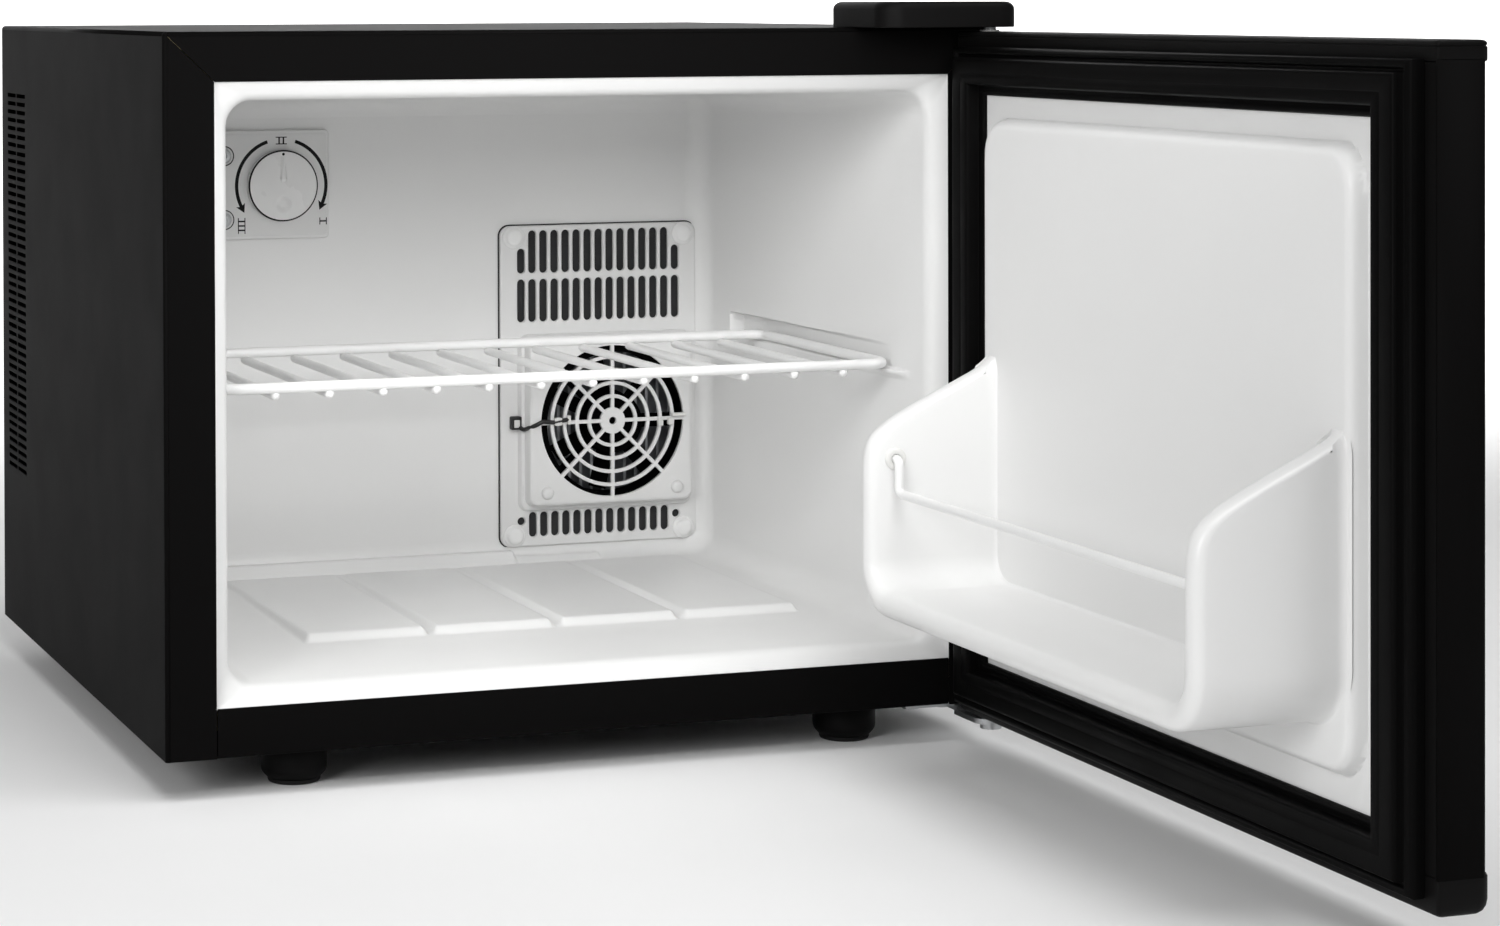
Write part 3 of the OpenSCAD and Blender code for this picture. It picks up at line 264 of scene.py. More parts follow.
def wires(name, paths, radius, body, material, replaces=(), closed=False, detail=6):
    """Round wire along each path, with rounded ends. Points are in millimetres."""
    curve = bpy.data.curves.new(name, "CURVE")
    curve.dimensions = "3D"
    curve.bevel_depth = radius * MM
    curve.bevel_resolution = detail
    curve.use_fill_caps = True
    for path in paths:
        path = [Vector(p) for p in path]
        sizes = [1.0] * len(path)
        if not closed:
            head, tail = (path[1] - path[0]).normalized(), (path[-2] - path[-1]).normalized()
            ends = [(0.03, 0.25), (0.15, 0.53), (0.4, 0.8), (0.7, 0.95), (1.0, 1.0)]
            first, last = path[0], path[-1]
            middle = path[1:-1]
            path = ([first + head * radius * i for i, _ in ends] + middle
                    + [last + tail * radius * i for i, _ in reversed(ends)])
            sizes = [s for _, s in ends] + [1.0] * len(middle) + [s for _, s in reversed(ends)]
        spline = curve.splines.new("POLY")
        spline.points.add(len(path) - 1)
        for point, place, size in zip(spline.points, path, sizes):
            point.co = (*(place * MM), 1)
            point.radius = size
        spline.use_cyclic_u = closed
        spline.use_smooth = True
    curve.materials.append(material)
    piece = bpy.data.objects.new(name, curve)
    bpy.context.scene.collection.objects.link(piece)
    return attach(piece, body, replaces)


def spaced(low, high, marks, fine, coarse):
    """Values from low to high, close together near each mark and far apart elsewhere."""
    values = [low]
    while values[-1] < high:
        here = values[-1]
        away = min((abs(here + fine - m) for m in marks), default=coarse)
        values.append(here + min(coarse, max(fine, (away - 3) * 0.4)))
    values[-1] = high
    return values


def ease(t):
    """Smooth step from 0 to 1."""
    t = np.clip(t, 0, 1)
    return t * t * (3 - 2 * t)


def span(value, low, high, edge):
    """1 between low and high, falling smoothly to 0 over the edge's width on both sides."""
    return ease((value - low + edge / 2) / edge) * ease((high + edge / 2 - value) / edge)


# ---------- materials ----------

def surface(name, colour, roughness, grain=0.6, relief=0.03, spread=0.06, metallic=0.0,
            specular=0.5, coat=0.0, wave=0.0, tint=0.04):
    """A moulded, painted or metal surface. grain and relief are millimetres; spread varies gloss."""
    material = bpy.data.materials.new(name)
    material.use_nodes = True
    nodes, links = material.node_tree.nodes, material.node_tree.links
    shader = nodes["Principled BSDF"]
    shader.inputs["Metallic"].default_value = metallic
    shader.inputs["Specular IOR Level"].default_value = specular
    shader.inputs["Coat Weight"].default_value = coat
    shader.inputs["Coat Roughness"].default_value = 0.25
    place = nodes.new("ShaderNodeTexCoord")

    fine = nodes.new("ShaderNodeTexNoise")
    fine.inputs["Scale"].default_value = 1 / (grain * MM)
    fine.inputs["Detail"].default_value = 3
    links.new(place.outputs["Object"], fine.inputs["Vector"])
    broad = nodes.new("ShaderNodeTexNoise")
    broad.inputs["Scale"].default_value = 1 / (38 * MM)
    broad.inputs["Detail"].default_value = 4
    links.new(place.outputs["Object"], broad.inputs["Vector"])

    gloss = nodes.new("ShaderNodeMapRange")
    gloss.inputs["From Min"].default_value = 0.3
    gloss.inputs["From Max"].default_value = 0.7
    gloss.inputs["To Min"].default_value = roughness - spread
    gloss.inputs["To Max"].default_value = roughness + spread
    links.new(broad.outputs["Fac"], gloss.inputs["Value"])
    links.new(gloss.outputs["Result"], shader.inputs["Roughness"])

    mix = nodes.new("ShaderNodeMix")
    mix.data_type = "RGBA"
    mix.inputs[6].default_value = (*[c * (1 - tint) for c in colour], 1)
    mix.inputs[7].default_value = (*[min(1, c * (1 + tint)) for c in colour], 1)
    links.new(broad.outputs["Fac"], mix.inputs[0])
    links.new(mix.outputs[2], shader.inputs["Base Color"])

    bump = nodes.new("ShaderNodeBump")
    bump.inputs["Strength"].default_value = 1
    bump.inputs["Distance"].default_value = relief * MM
    links.new(fine.outputs["Fac"], bump.inputs["Height"])
    last = bump
    if wave:
        slow = nodes.new("ShaderNodeBump")
        slow.inputs["Strength"].default_value = 1
        slow.inputs["Distance"].default_value = wave * MM
        links.new(broad.outputs["Fac"], slow.inputs["Height"])
        links.new(bump.outputs["Normal"], slow.inputs["Normal"])
        last = slow
    links.new(last.outputs["Normal"], shader.inputs["Normal"])
    return material


def brushed(name, colour, roughness, axis=0):
    """Bare metal with fine drawn lines along one axis."""
    material = surface(name, colour, roughness, grain=0.8, relief=0.01, metallic=1.0)
    nodes, links = material.node_tree.nodes, material.node_tree.links
    place = next(n for n in nodes if n.bl_idname == "ShaderNodeTexCoord")
    stretch = nodes.new("ShaderNodeMapping")
    stretch.inputs["Scale"].default_value = [0.02 if i == axis else 1 for i in range(3)]
    links.new(place.outputs["Object"], stretch.inputs["Vector"])
    fine = next(n for n in nodes if n.bl_idname == "ShaderNodeTexNoise")
    links.new(stretch.outputs["Vector"], fine.inputs["Vector"])
    return material


STEEL = surface("black_painted_steel", (0.0042, 0.0040, 0.0040), 0.46, grain=0.45, relief=0.012,
                specular=0.009, spread=0.02, wave=0.006, tint=0.01)
BLACK = surface("black_moulded", (0.0045, 0.0043, 0.0043), 0.5, grain=0.35, relief=0.02,
                specular=0.06, spread=0.03)
FAN_BLACK = surface("fan_moulded", (0.0012, 0.0012, 0.0012), 0.7, grain=0.4, relief=0.02, specular=0.02)
GASKET = surface("gasket_vinyl", (0.0030, 0.0029, 0.0029), 0.42, grain=1.2, relief=0.012,
                 specular=0.025)
RUBBER = surface("rubber", (0.0060, 0.0058, 0.0058), 0.7, grain=0.5, relief=0.05, specular=0.25)
WHITE = surface("white_liner", (0.80, 0.80, 0.795), 0.34, grain=0.5, relief=0.012,
                spread=0.05, wave=0.12, tint=0.008)
# Grey copy of the white liner: painted shade for the fan's deep well.
WELL_PAINTED_SHADE = surface("liner_in_shadow", (0.36, 0.36, 0.36), 0.6, grain=0.5, relief=0.02, tint=0.03)
COVER_WHITE = surface("white_cover", (0.76, 0.76, 0.755), 0.38, grain=0.35, relief=0.02, tint=0.01)
CAP_WHITE = surface("white_cap", (0.86, 0.86, 0.855), 0.3, grain=0.4, relief=0.01, tint=0.01)
DIAL_WHITE = surface("white_dial", (0.80, 0.80, 0.795), 0.3, grain=0.4, relief=0.01, tint=0.01)
LABEL = surface("label_film", (0.72, 0.72, 0.715), 0.4, grain=0.3, relief=0.01, tint=0.01)
# Black ink for the printed marks; the same black also paints the shade rings round the dial and the plate screws.
PRINT_INK_AND_PAINTED_SHADE = surface("print_ink_and_painted_shade", (0.004, 0.004, 0.004), 0.6, grain=0.2, relief=0.005, specular=0.15)
NYLON = surface("nylon", (0.72, 0.72, 0.70), 0.4, grain=0.4, relief=0.015)
WIRE_WHITE = surface("coated_wire", (0.83, 0.83, 0.825), 0.3, grain=0.8, relief=0.008,
                     spread=0.02, tint=0.01)
CABLE = surface("black_cable", (0.007, 0.007, 0.007), 0.45, grain=0.5, relief=0.02)
ZINC = brushed("zinc_plate", (0.56, 0.57, 0.58), 0.34)
ALUMINIUM = brushed("extruded_aluminium", (0.50, 0.51, 0.53), 0.42, axis=2)
FOAM = surface("rigid_foam", (0.72, 0.62, 0.36), 0.85, grain=0.9, relief=0.4, tint=0.12)
# Black foam for the dark_foam slot; the same black also paints the shadow gap round the fan cover.
DARK_FOAM_AND_PAINTED_SHADOW = surface("closed_cell_foam_and_painted_shadow", (0.02, 0.02, 0.021), 0.85, grain=0.7, relief=0.3)
BOARD = surface("solder_mask", (0.02, 0.10, 0.045), 0.35, grain=2.0, relief=0.02, tint=0.15)
TAPE = surface("coil_tape", (0.70, 0.48, 0.05), 0.4, grain=1.0, relief=0.05, tint=0.08)
SLEEVE = surface("capacitor_sleeve", (0.02, 0.035, 0.08), 0.35, grain=0.6, relief=0.01)
CERAMIC = surface("module_ceramic", (0.80, 0.80, 0.77), 0.6, grain=0.3, relief=0.02)
GREY = surface("grey_moulded", (0.05, 0.05, 0.055), 0.5, grain=0.4, relief=0.03)

SLOT_MATERIALS = {
    "black_steel": STEEL, "black_plastic": BLACK, "fan_plastic": FAN_BLACK, "grey_plastic": GREY,
    "white_plastic": WHITE, "dial_plastic": DIAL_WHITE, "nylon": NYLON, "black_rubber": RUBBER,
    "gasket_black": GASKET, "black_cable": CABLE, "bare_steel": ZINC, "white_wire": WIRE_WHITE,
    "bare_aluminium": ALUMINIUM, "module_ceramic": CERAMIC, "foam": FOAM, "dark_foam": DARK_FOAM_AND_PAINTED_SHADOW,
    "board_green": BOARD, "transformer_yellow": TAPE, "capacitor_blue": SLEEVE,
}
SLOT_OF = {material.name: slot for slot, material in SLOT_MATERIALS.items()}
SLOT_OF.update({m.name: "white_plastic" for m in (COVER_WHITE, CAP_WHITE, WELL_PAINTED_SHADE, LABEL)})
SLOT_OF[PRINT_INK_AND_PAINTED_SHADE.name] = "black_plastic"


def dress_frame():
    """Gives every carried-over CAD node the material of its slot."""
    for part in frame["record"]["subparts"]:
        node = frame["nodes"][part["node"]]
        node.data.materials.clear()
        node.data.materials.append(SLOT_MATERIALS[part["material_slot"]])


dress_frame()


# ---------- cabinet ----------

BEND = 2.0
VENT_ROWS = 46
VENT_PITCH = 4.4
VENT_LENGTH = 24.0
VENT_SLOT = 2.2
VENT_Y = FRONT_Y + 329
VENT_Z = BASE_Z + 84


def facing(mesh, direction):
    """Turns a small open surface so that its faces look along the direction."""
    work = bmesh.new()
    work.from_mesh(mesh)
    bmesh.ops.recalc_face_normals(work, faces=work.faces)
    total = sum((f.normal * f.calc_area() for f in work.faces), Vector((0, 0, 0)))
    if total.dot(Vector(direction)) < 0:
        bmesh.ops.reverse_faces(work, faces=work.faces)
    work.to_mesh(mesh)
    work.free()
    return mesh


def bend_strip(name, start, end, out_a, out_b, steps=5):
    """A quarter-round bend from start to end between two outward directions."""
    rows = []
    for point in (start, end):
        rows.append([np.array(point) + BEND * (math.cos(t) * np.array(out_a)
                                              + math.sin(t) * np.array(out_b))
                     for t in np.linspace(0, math.pi / 2, steps + 1)])
    return facing(grid_mesh(name, rows), np.array(out_a) + np.array(out_b))


def corner_patch(name, centre, out_x, steps=5):
    """The eighth of a ball where a side, the top and the front meet."""
    rows = []
    for a in np.linspace(0, math.pi / 2, steps + 1):
        rows.append([np.array(centre) + BEND * np.array([
            out_x * math.cos(a) * math.cos(b), -math.sin(a) * math.cos(b), math.sin(b)])
            for b in np.linspace(0, math.pi / 2, steps + 1)])
    return facing(grid_mesh(name, rows), (out_x, -1, 1))


def side_sheet(name, s):
    """A side of the case as a sheet with two columns of vent slots."""
    slots = []
    for row in range(VENT_ROWS):
        for column in (0, 1):
            y = VENT_Y + column * (VENT_LENGTH + 2.5) + VENT_LENGTH / 2
            z = VENT_Z + row * VENT_PITCH + VENT_SLOT / 2
            slots.append(round_rect(y, z, VENT_LENGTH, VENT_SLOT, VENT_SLOT / 2 - 0.05, 3))
    front = FRONT_Y + BEND
    edge = [(front, BASE_Z), (BACK_Y, BASE_Z), (BACK_Y, TOP_Z - BEND), (front, TOP_Z - BEND)]
    low, high = sorted((s * (SIDE_X - SHEET), s * SIDE_X))
    return plate(name, [edge] + slots, low, high, bevel=0.12, plane="yz", segments=1)


def case_bends():
    """The rounded bends between the sides, the top and the front flanges."""
    parts = []
    x, y, z = SIDE_X - BEND, FRONT_Y + BEND, TOP_Z - BEND
    for s in (-1, 1):
        parts.append(bend_strip("b", (s * x, y, z), (s * x, BACK_Y, z), (s, 0, 0), (0, 0, 1)))
        parts.append(bend_strip("b", (s * x, y, BASE_Z), (s * x, y, z), (s, 0, 0), (0, -1, 0)))
        parts.append(corner_patch("b", (s * x, y, z), s))
    parts.append(bend_strip("b", (-x, y, z), (x, y, z), (0, 0, 1), (0, -1, 0)))
    return join_meshes("case_bends", parts)


def flange(outline):
    """A front flange with rounded edges."""
    return plate("flange", [outline], FRONT_Y, FRONT_Y + SHEET, bevel=0.3, segments=3)


def build_case():
    """Steel case: sides with vents, top, bends, mitred front flanges and rear flanges."""
    x, z = SIDE_X - BEND, TOP_Z - BEND
    top = plate("case_top", [[(-x, FRONT_Y + BEND), (x, FRONT_Y + BEND), (x, BACK_Y), (-x, BACK_Y)]],
                TOP_Z - SHEET, TOP_Z, bevel=0.12, plane="xy", segments=1)
    first = add_object("case_top", top, "cabinet", STEEL, ["outer_wrap"])
    even_normals(first)
    for s, label in ((-1, "left"), (1, "right")):
        side = add_object(f"case_side_{label}", side_sheet("side", s), "cabinet", STEEL, ["outer_wrap"])
        even_normals(side)
        outline = [(s * x, BASE_Z), (s * OPEN_X, BASE_Z), (s * OPEN_X, OPEN_Z[1]), (s * x, z)]
        mesh = flange(outline)
        piece = add_object(f"front_flange_{label}", mesh, "cabinet", STEEL, ["outer_wrap"])
        even_normals(piece)
        low, high = sorted((s * (SIDE_X - 10), s * (SIDE_X - SHEET)))
        rear = plate("rear", [[(low, BASE_Z), (high, BASE_Z), (high, TOP_Z - SHEET),
                               (low, TOP_Z - SHEET)]], BACK_Y - SHEET, BACK_Y, bevel=0.3)
        add_object(f"rear_flange_{label}", rear, "cabinet", STEEL, ["outer_wrap"])
        foot = plate("lip", [[(low, FRONT_Y + 2), (high, FRONT_Y + 2), (high, BACK_Y - 1.5),
                              (low, BACK_Y - 1.5)]], BASE_Z, BASE_Z + SHEET, 0.3, plane="xy")
        add_object(f"bottom_lip_{label}", foot, "cabinet", STEEL, ["outer_wrap"])
    seam = 0.35
    outline = [(-x + seam, z), (-OPEN_X + seam, OPEN_Z[1]), (OPEN_X - seam, OPEN_Z[1]), (x - seam, z)]
    head = add_object("front_flange_top", flange(outline), "cabinet", STEEL, ["outer_wrap"])
    even_normals(head)
    bends = add_object("case_bends", case_bends(), "cabinet", STEEL, ["outer_wrap"])
    thick = bends.modifiers.new("thickness", "SOLIDIFY")
    thick.thickness = SHEET * MM
    thick.offset = -1
    strip = plate("rear", [[(-SIDE_X + 10, TOP_Z - 10), (SIDE_X - 10, TOP_Z - 10),
                            (SIDE_X - 10, TOP_Z - SHEET), (-SIDE_X + 10, TOP_Z - SHEET)]],
                  BACK_Y - SHEET, BACK_Y, bevel=0.3)
    add_object("rear_flange_top", strip, "cabinet", STEEL, ["outer_wrap"])


def build_bottom_rail():
    """Rail across the front with a rounded lower bend."""
    low, high = box_mm("bottom_rail")
    gap = 0.3
    profile = [(high[1] - 12, low[2] + SHEET), (high[1] - 12, low[2])]
    profile += [(FRONT_Y + BEND + BEND * math.cos(t), low[2] + BEND + BEND * math.sin(t))
                for t in np.radians(np.linspace(270, 180, 7))]
    profile += [(FRONT_Y, high[2] - 0.5), (FRONT_Y + 0.3, high[2]), (FRONT_Y + SHEET, high[2]),
                (FRONT_Y + SHEET, low[2] + BEND + SHEET)]
    ends = len(profile)
    points = [(x, y, z) for x in (low[0] + gap, high[0] - gap) for y, z in profile]
    faces = grid_faces(2, ends, close_columns=True)
    faces += [tuple(range(ends)), tuple(range(2 * ends - 1, ends - 1, -1))]
    mesh = make_mesh("bottom_rail_look", points, faces)
    outward(mesh)
    add_object("bottom_rail_look", mesh, "cabinet", STEEL, ["bottom_rail"])


build_case()
build_bottom_rail()


# ---------- inner liner ----------

MOUTH_Y = FRONT_Y + SHEET + 5
BORDER = 8.0
MOUTH = (OPEN_X - 7.4, OPEN_Z[0] + BORDER, OPEN_Z[1] - 8.2)
ROOM_BACK = (OPEN_X - BORDER - 9.5, OPEN_Z[0] + BORDER + 4, OPEN_Z[1] - BORDER - 5.8)
ROOM_R = 12.0
SHELF_Z = SHELF_HI[2] - 2.5
GROOVE_Z = (SHELF_Z - 2.9, SHELF_Z + 8.1)
GROOVE_Y = (MOUTH_Y + 1, FRONT_Y + 237)
GROOVE_X = 168.0
PAD_TOP = OPEN_Z[0] + 13.2
PAD_HALF = 29.5
PAD_CENTRES = [-82 + 63.5 * i for i in range(4)]
PAD_Y = (FRONT_Y + 93, CAVITY_BACK - 13)
LEDGE_END_X = 50.0
COVER_X = (COVER_LO[0] + COVER_HI[0]) / 2
COVER_Z = (COVER_LO[2] + COVER_HI[2]) / 2
WELL = (98.0, 168.0, 28.0)


def room_at(y):
    """Half-width, floor and ceiling heights of the tapering cavity at depth y."""
    t = (y - MOUTH_Y) / (CAVITY_BACK - MOUTH_Y)
    return [a + (b - a) * t for a, b in zip(MOUTH, ROOM_BACK)]


def liner_stations():
    """(depth, growth, corner radius) of each ring from the steel's edge to the back wall."""
    lip = [(FRONT_Y + 1.1, 8.6, 1.0), (FRONT_Y + 1.3, 7.9, 1.3), (FRONT_Y + 1.8, 7.2, 2.0),
           (FRONT_Y + 4.2, 4.2, 7.0), (FRONT_Y + 5.2, 2.9, 9.0), (FRONT_Y + 6.4, 1.7, 11.0),
           (FRONT_Y + 8.0, 0.8, ROOM_R), (FRONT_Y + 10.0, 0.2, ROOM_R)]
    marks = [*GROOVE_Y, PAD_Y[0], PAD_Y[1], CAVITY_BACK - 10]
    walls = [(y, 0.0, ROOM_R) for y in spaced(FRONT_Y + 12, CAVITY_BACK - ROOM_R, marks, 0.9, 7)]
    back = []
    for t in np.linspace(0, math.pi / 2, 11)[1:]:
        inset = ROOM_R * (1 - math.cos(t))
        back.append((CAVITY_BACK - ROOM_R + ROOM_R * math.sin(t), -inset, max(ROOM_R - inset, 0.4)))
    return lip + walls + back


def ring_points(y, grow, corner, across, upward):
    """One ring of the liner: floor, right wall, ceiling and left wall with round corners."""
    half, floor, ceiling = room_at(min(y, CAVITY_BACK))
    half, floor, ceiling = half + grow, floor - grow, ceiling + grow
    span_x, span_z = 2 * (half - corner), ceiling - floor - 2 * corner
    points = [(-half + corner + span_x * f, floor) for f in across]
    points += arc(half - corner, floor + corner, corner, 270, 360, 6)[1:-1]
    points += [(half, floor + corner + span_z * f) for f in upward]
    points += arc(half - corner, ceiling - corner, corner, 0, 90, 6)[1:-1]
    points += [(half - corner - span_x * f, ceiling) for f in across]
    points += arc(-half + corner, ceiling - corner, corner, 90, 180, 6)[1:-1]
    points += [(-half, ceiling - corner - span_z * f) for f in upward]
    points += arc(-half + corner, floor + corner, corner, 180, 270, 6)[1:-1]
    return [(x, y, z) for x, z in points]


def formed(points):
    """Adds the shelf grooves, the ledges, the floor pads and the rear step to the plain cavity."""
    p = np.array(points, float)
    x, y, z = p[:, 0].copy(), p[:, 1], p[:, 2].copy()
    reach = ease((y - GROOVE_Y[0]) / 4) * ease((GROOVE_Y[1] - y) / 3)
    inside = span(z, *GROOVE_Z, 1.6) * reach * (np.abs(x) > 150)
    x += np.sign(x) * np.maximum(GROOVE_X - np.abs(x), 0) * inside
    ledge = ease((z - GROOVE_Z[0] + 5) / 4) * ease((GROOVE_Z[0] + 0.3 - z) / 0.8)
    ledge = ledge * ease((y - GROOVE_Y[0] - 22) / 16) * reach * (np.abs(x) > 150)
    x -= np.sign(x) * np.maximum(np.abs(x) - 163.2, 0) * ledge
    for centre in PAD_CENTRES:
        lift = span(x, centre - PAD_HALF, centre + PAD_HALF, 3.6) * span(y, *PAD_Y, 6.0)
        z += np.where(z < PAD_TOP, (PAD_TOP - z) * lift, 0)
    step = CAVITY_BACK - 10
    high = ROOM_BACK[1] + 6.5 * ease((LEDGE_END_X - x) / 3) * ease((y - step) / 3)
    low = ROOM_BACK[1] + 3.4 * ease((y - step - 1) / 3) * ease((98 - x) / 3)
    z = np.maximum(z, np.where(y > step, np.maximum(high, low), z))
    return np.stack([x, y, z], axis=1)


def build_liner():
    """White liner: border, tapering room, grooves, floor pads and rear step, and the fan's well in a grey that
    paints its shade.
    """
    edges = [c + s * PAD_HALF for c in PAD_CENTRES for s in (-1, 1)] + [LEDGE_END_X, 98]
    mid = room_at((MOUTH_Y + CAVITY_BACK) / 2)
    low_x = -mid[0] + ROOM_R
    across = [(v - low_x) / (-2 * low_x) for v in spaced(low_x, -low_x, edges, 0.9, 9)]
    low_z, high_z = mid[1] + ROOM_R, mid[2] - ROOM_R
    heights = spaced(low_z, high_z, [GROOVE_Z[0] - 2, GROOVE_Z[0], GROOVE_Z[1]], 0.6, 9)
    upward = [(v - low_z) / (high_z - low_z) for v in heights]
    stations = liner_stations()
    grid = [formed(ring_points(y, g, r, across, upward)) for y, g, r in stations]
    room = grid_mesh("room", grid, close_columns=True)
    last = [(p[0], p[2]) for p in grid[-1]]
    w, h, depth = WELL
    hole = round_rect(COVER_X, COVER_Z, w, h, 3)
    wall = plate("wall", [last, hole], CAVITY_BACK, CAVITY_BACK + 1, bevel=0.01, segments=1)
    well_rows = [[(x, y, z) for x, z in hole] for y in (CAVITY_BACK, CAVITY_BACK + depth)]
    well = grid_mesh("well", well_rows, close_columns=True)
    floor = make_mesh("floor", well_rows[1], [tuple(range(len(hole)))])
    mesh = join_meshes("liner_look", [room, wall], sharp=50)
    piece = add_object("liner_look", mesh, "cabinet", WHITE, ["inner_liner"])
    even_normals(piece)
    # The well's walls and floor take the grey painted-shade copy of the liner.
    pocket = join_meshes("liner_well_painted_shade", [well, floor], sharp=50)
    add_object("liner_well_painted_shade", pocket, "cabinet", WELL_PAINTED_SHADE, ["inner_liner"])


build_liner()


# ---------- fan cover ----------

COVER_FRONT = COVER_HI[1] - 2.5
RAISED = 10.0
RAISED_W = 94.0
RAISED_Z = (BASE_Z + 63.4, BASE_Z + 153.4)
GRILLE_X = COVER_X + 4.2
GRILLE_Z = BASE_Z + 108.4
GRILLE_R = 42.2
SLOT_PITCH = 6.25


def grille_holes(cx, cz, radius, rings, spokes, rib):
    """Outlines of the gaps between a grille's rings and spokes."""
    step = radius / rings
    holes = [circle(cx, cz, 2.0, 24)]
    for k in range(1, rings):
        inner, outer = k * step, (k + 1) * step - rib
        for s in range(spokes):
            middle = 360 * s / spokes
            half = 180 / spokes
            trim_in = math.degrees(math.asin(rib / 2 / inner))
            trim_out = math.degrees(math.asin(rib / 2 / outer))
            holes.append(arc(cx, cz, outer, middle + trim_out, middle + 2 * half - trim_out, 10)
                         + arc(cx, cz, inner, middle + 2 * half - trim_in, middle + trim_in, 8))
    return holes


def cover_slots():
    """Outlines of the cover's slots and small holes."""
    slots = []
    for i in range(-7, 8):
        x = COVER_X + i * SLOT_PITCH
        cut = 9.6 if abs(i) == 7 else 0
        slots.append(round_rect(x, BASE_Z + 199 - cut / 2, 4.3, 22.8 - cut, 2.1, 4))
        slots.append(round_rect(x, BASE_Z + 173, 4.3, 22.8, 2.1, 4))
    for i in range(-6, 7):
        slots.append(round_rect(COVER_X + i * SLOT_PITCH, BASE_Z + 53.5, 4.3, 13.2, 2.1, 4))
    for s in (-1, 1):
        slots.append(circle(COVER_X + s * 44, BASE_Z + 55.5, 2.1, 24))
    return slots


def box_walls(name, outline_back, outline_front, y_back, y_front, rounding):
    """Drafted walls from a back outline to a front outline with a rounded front edge."""
    back, front = np.array(outline_back), np.array(outline_front)
    middle = front.mean(axis=0)
    rows = [np.column_stack([back[:, 0], np.full(len(back), y_back), back[:, 1]])]
    for t in np.linspace(0, math.pi / 2, 6):
        inward = rounding * (1 - math.cos(t))
        ring = front - np.sign(front - middle) * inward
        y = y_front + rounding * (1 - math.sin(t))
        rows.append(np.column_stack([ring[:, 0], np.full(len(ring), y), ring[:, 1]]))
    return grid_mesh(name, rows, close_columns=True)


def build_fan_cover():
    """Cover with slots, a black strip behind it that paints the shadow gap round its edge, a stepped shoulder, a
    raised box and a round grille.
    """
    outer = round_rect(COVER_X, COVER_Z, COVER_HI[0] - COVER_LO[0], COVER_HI[2] - COVER_LO[2], 5.5, 8)
    raised_x = GRILLE_X - 0.5
    raised_z = sum(RAISED_Z) / 2
    height = RAISED_Z[1] - RAISED_Z[0]
    window = round_rect(raised_x, raised_z, RAISED_W - 4, height - 4, 3)
    sheet = plate("sheet", [outer, window] + cover_slots(), COVER_FRONT, COVER_HI[1], bevel=0.7,
                  segments=3)
    # A thin black strip just wider than the cover, behind it: painted shadow of the gap round the cover's edge.
    rim = round_rect(COVER_X, COVER_Z, COVER_HI[0] - COVER_LO[0] + 1.3,
                     COVER_HI[2] - COVER_LO[2] + 1.3, 6.1, 8)
    shadow_gap_strip = plate("cover_painted_shadow_gap", [rim, window], COVER_HI[1] - 0.6, COVER_HI[1], 0.05, segments=1)
    add_object("cover_painted_shadow_gap", shadow_gap_strip, "cabinet", DARK_FOAM_AND_PAINTED_SHADOW)
    shoulder_front = COVER_FRONT - 3.5
    wide = round_rect(raised_x - 0.5, raised_z - 0.5, RAISED_W + 5, height + 5, 6, 8)
    wide_top = round_rect(raised_x - 0.5, raised_z - 0.5, RAISED_W + 3, height + 3, 5, 8)
    shoulder = box_walls("shoulder", wide, wide_top, COVER_FRONT + 0.5, shoulder_front, 1.2)
    narrow = round_rect(raised_x, raised_z, RAISED_W, height, 5, 8)
    shelf = plate("step", [round_rect(raised_x - 0.5, raised_z - 0.5, RAISED_W + 0.8, height + 0.8, 4, 8),
                           window], shoulder_front, shoulder_front + 1.5, bevel=0.05, segments=1)
    face_y = COVER_FRONT - RAISED
    narrow_top = round_rect(raised_x, raised_z, RAISED_W - 2, height - 2, 5, 8)
    walls = box_walls("walls", narrow, narrow_top, shoulder_front + 0.5, face_y, 1.6)
    face = plate("face", [round_rect(raised_x, raised_z, RAISED_W - 5, height - 5, 3.5, 8)]
                 + grille_holes(GRILLE_X, GRILLE_Z, GRILLE_R, 6, 8, 1.9),
                 face_y, face_y + 2.2, bevel=0.25, segments=2)
    mesh = join_meshes("fan_cover_look", [sheet, shoulder, shelf, walls, face], sharp=45)
    piece = add_object("fan_cover_look", mesh, "cabinet", COVER_WHITE, ["fan_cover"])
    even_normals(piece)
    for i, (x, z) in enumerate([(-36.5, 8), (37, 8)]):
        profile = [(3.4, 0), (3.3, 0.9), (2.8, 1.7), (1.8, 2.1), (0, 2.2)]
        boss = lathe("boss", profile, (raised_x + x, face_y, RAISED_Z[0] + z), (0, -1, 0), 32)
        add_object(f"cover_boss_{i}", boss, "cabinet", COVER_WHITE)


def build_screw_caps():
    """Domed caps over the four screws of the fan cover."""
    profile = [(6.0, 0), (6.0, 0.5), (5.7, 0.9), (5.0, 1.2), (4.6, 1.5), (4.3, 2.2), (3.6, 2.8),
               (2.4, 3.1), (0, 3.2)]
    w, h = COVER_HI[0] - COVER_LO[0] - 15, COVER_HI[2] - COVER_LO[2] - 12
    for i, (sx, sz) in enumerate([(-1, -1), (1, -1), (-1, 1), (1, 1)]):
        centre = (COVER_X + sx * w / 2, COVER_FRONT, COVER_Z + sz * h / 2)
        add_object(f"screw_cap_{i}", lathe("cap", profile, centre, (0, -1, 0)), "cabinet",
                   CAP_WHITE, ["screw_caps"])


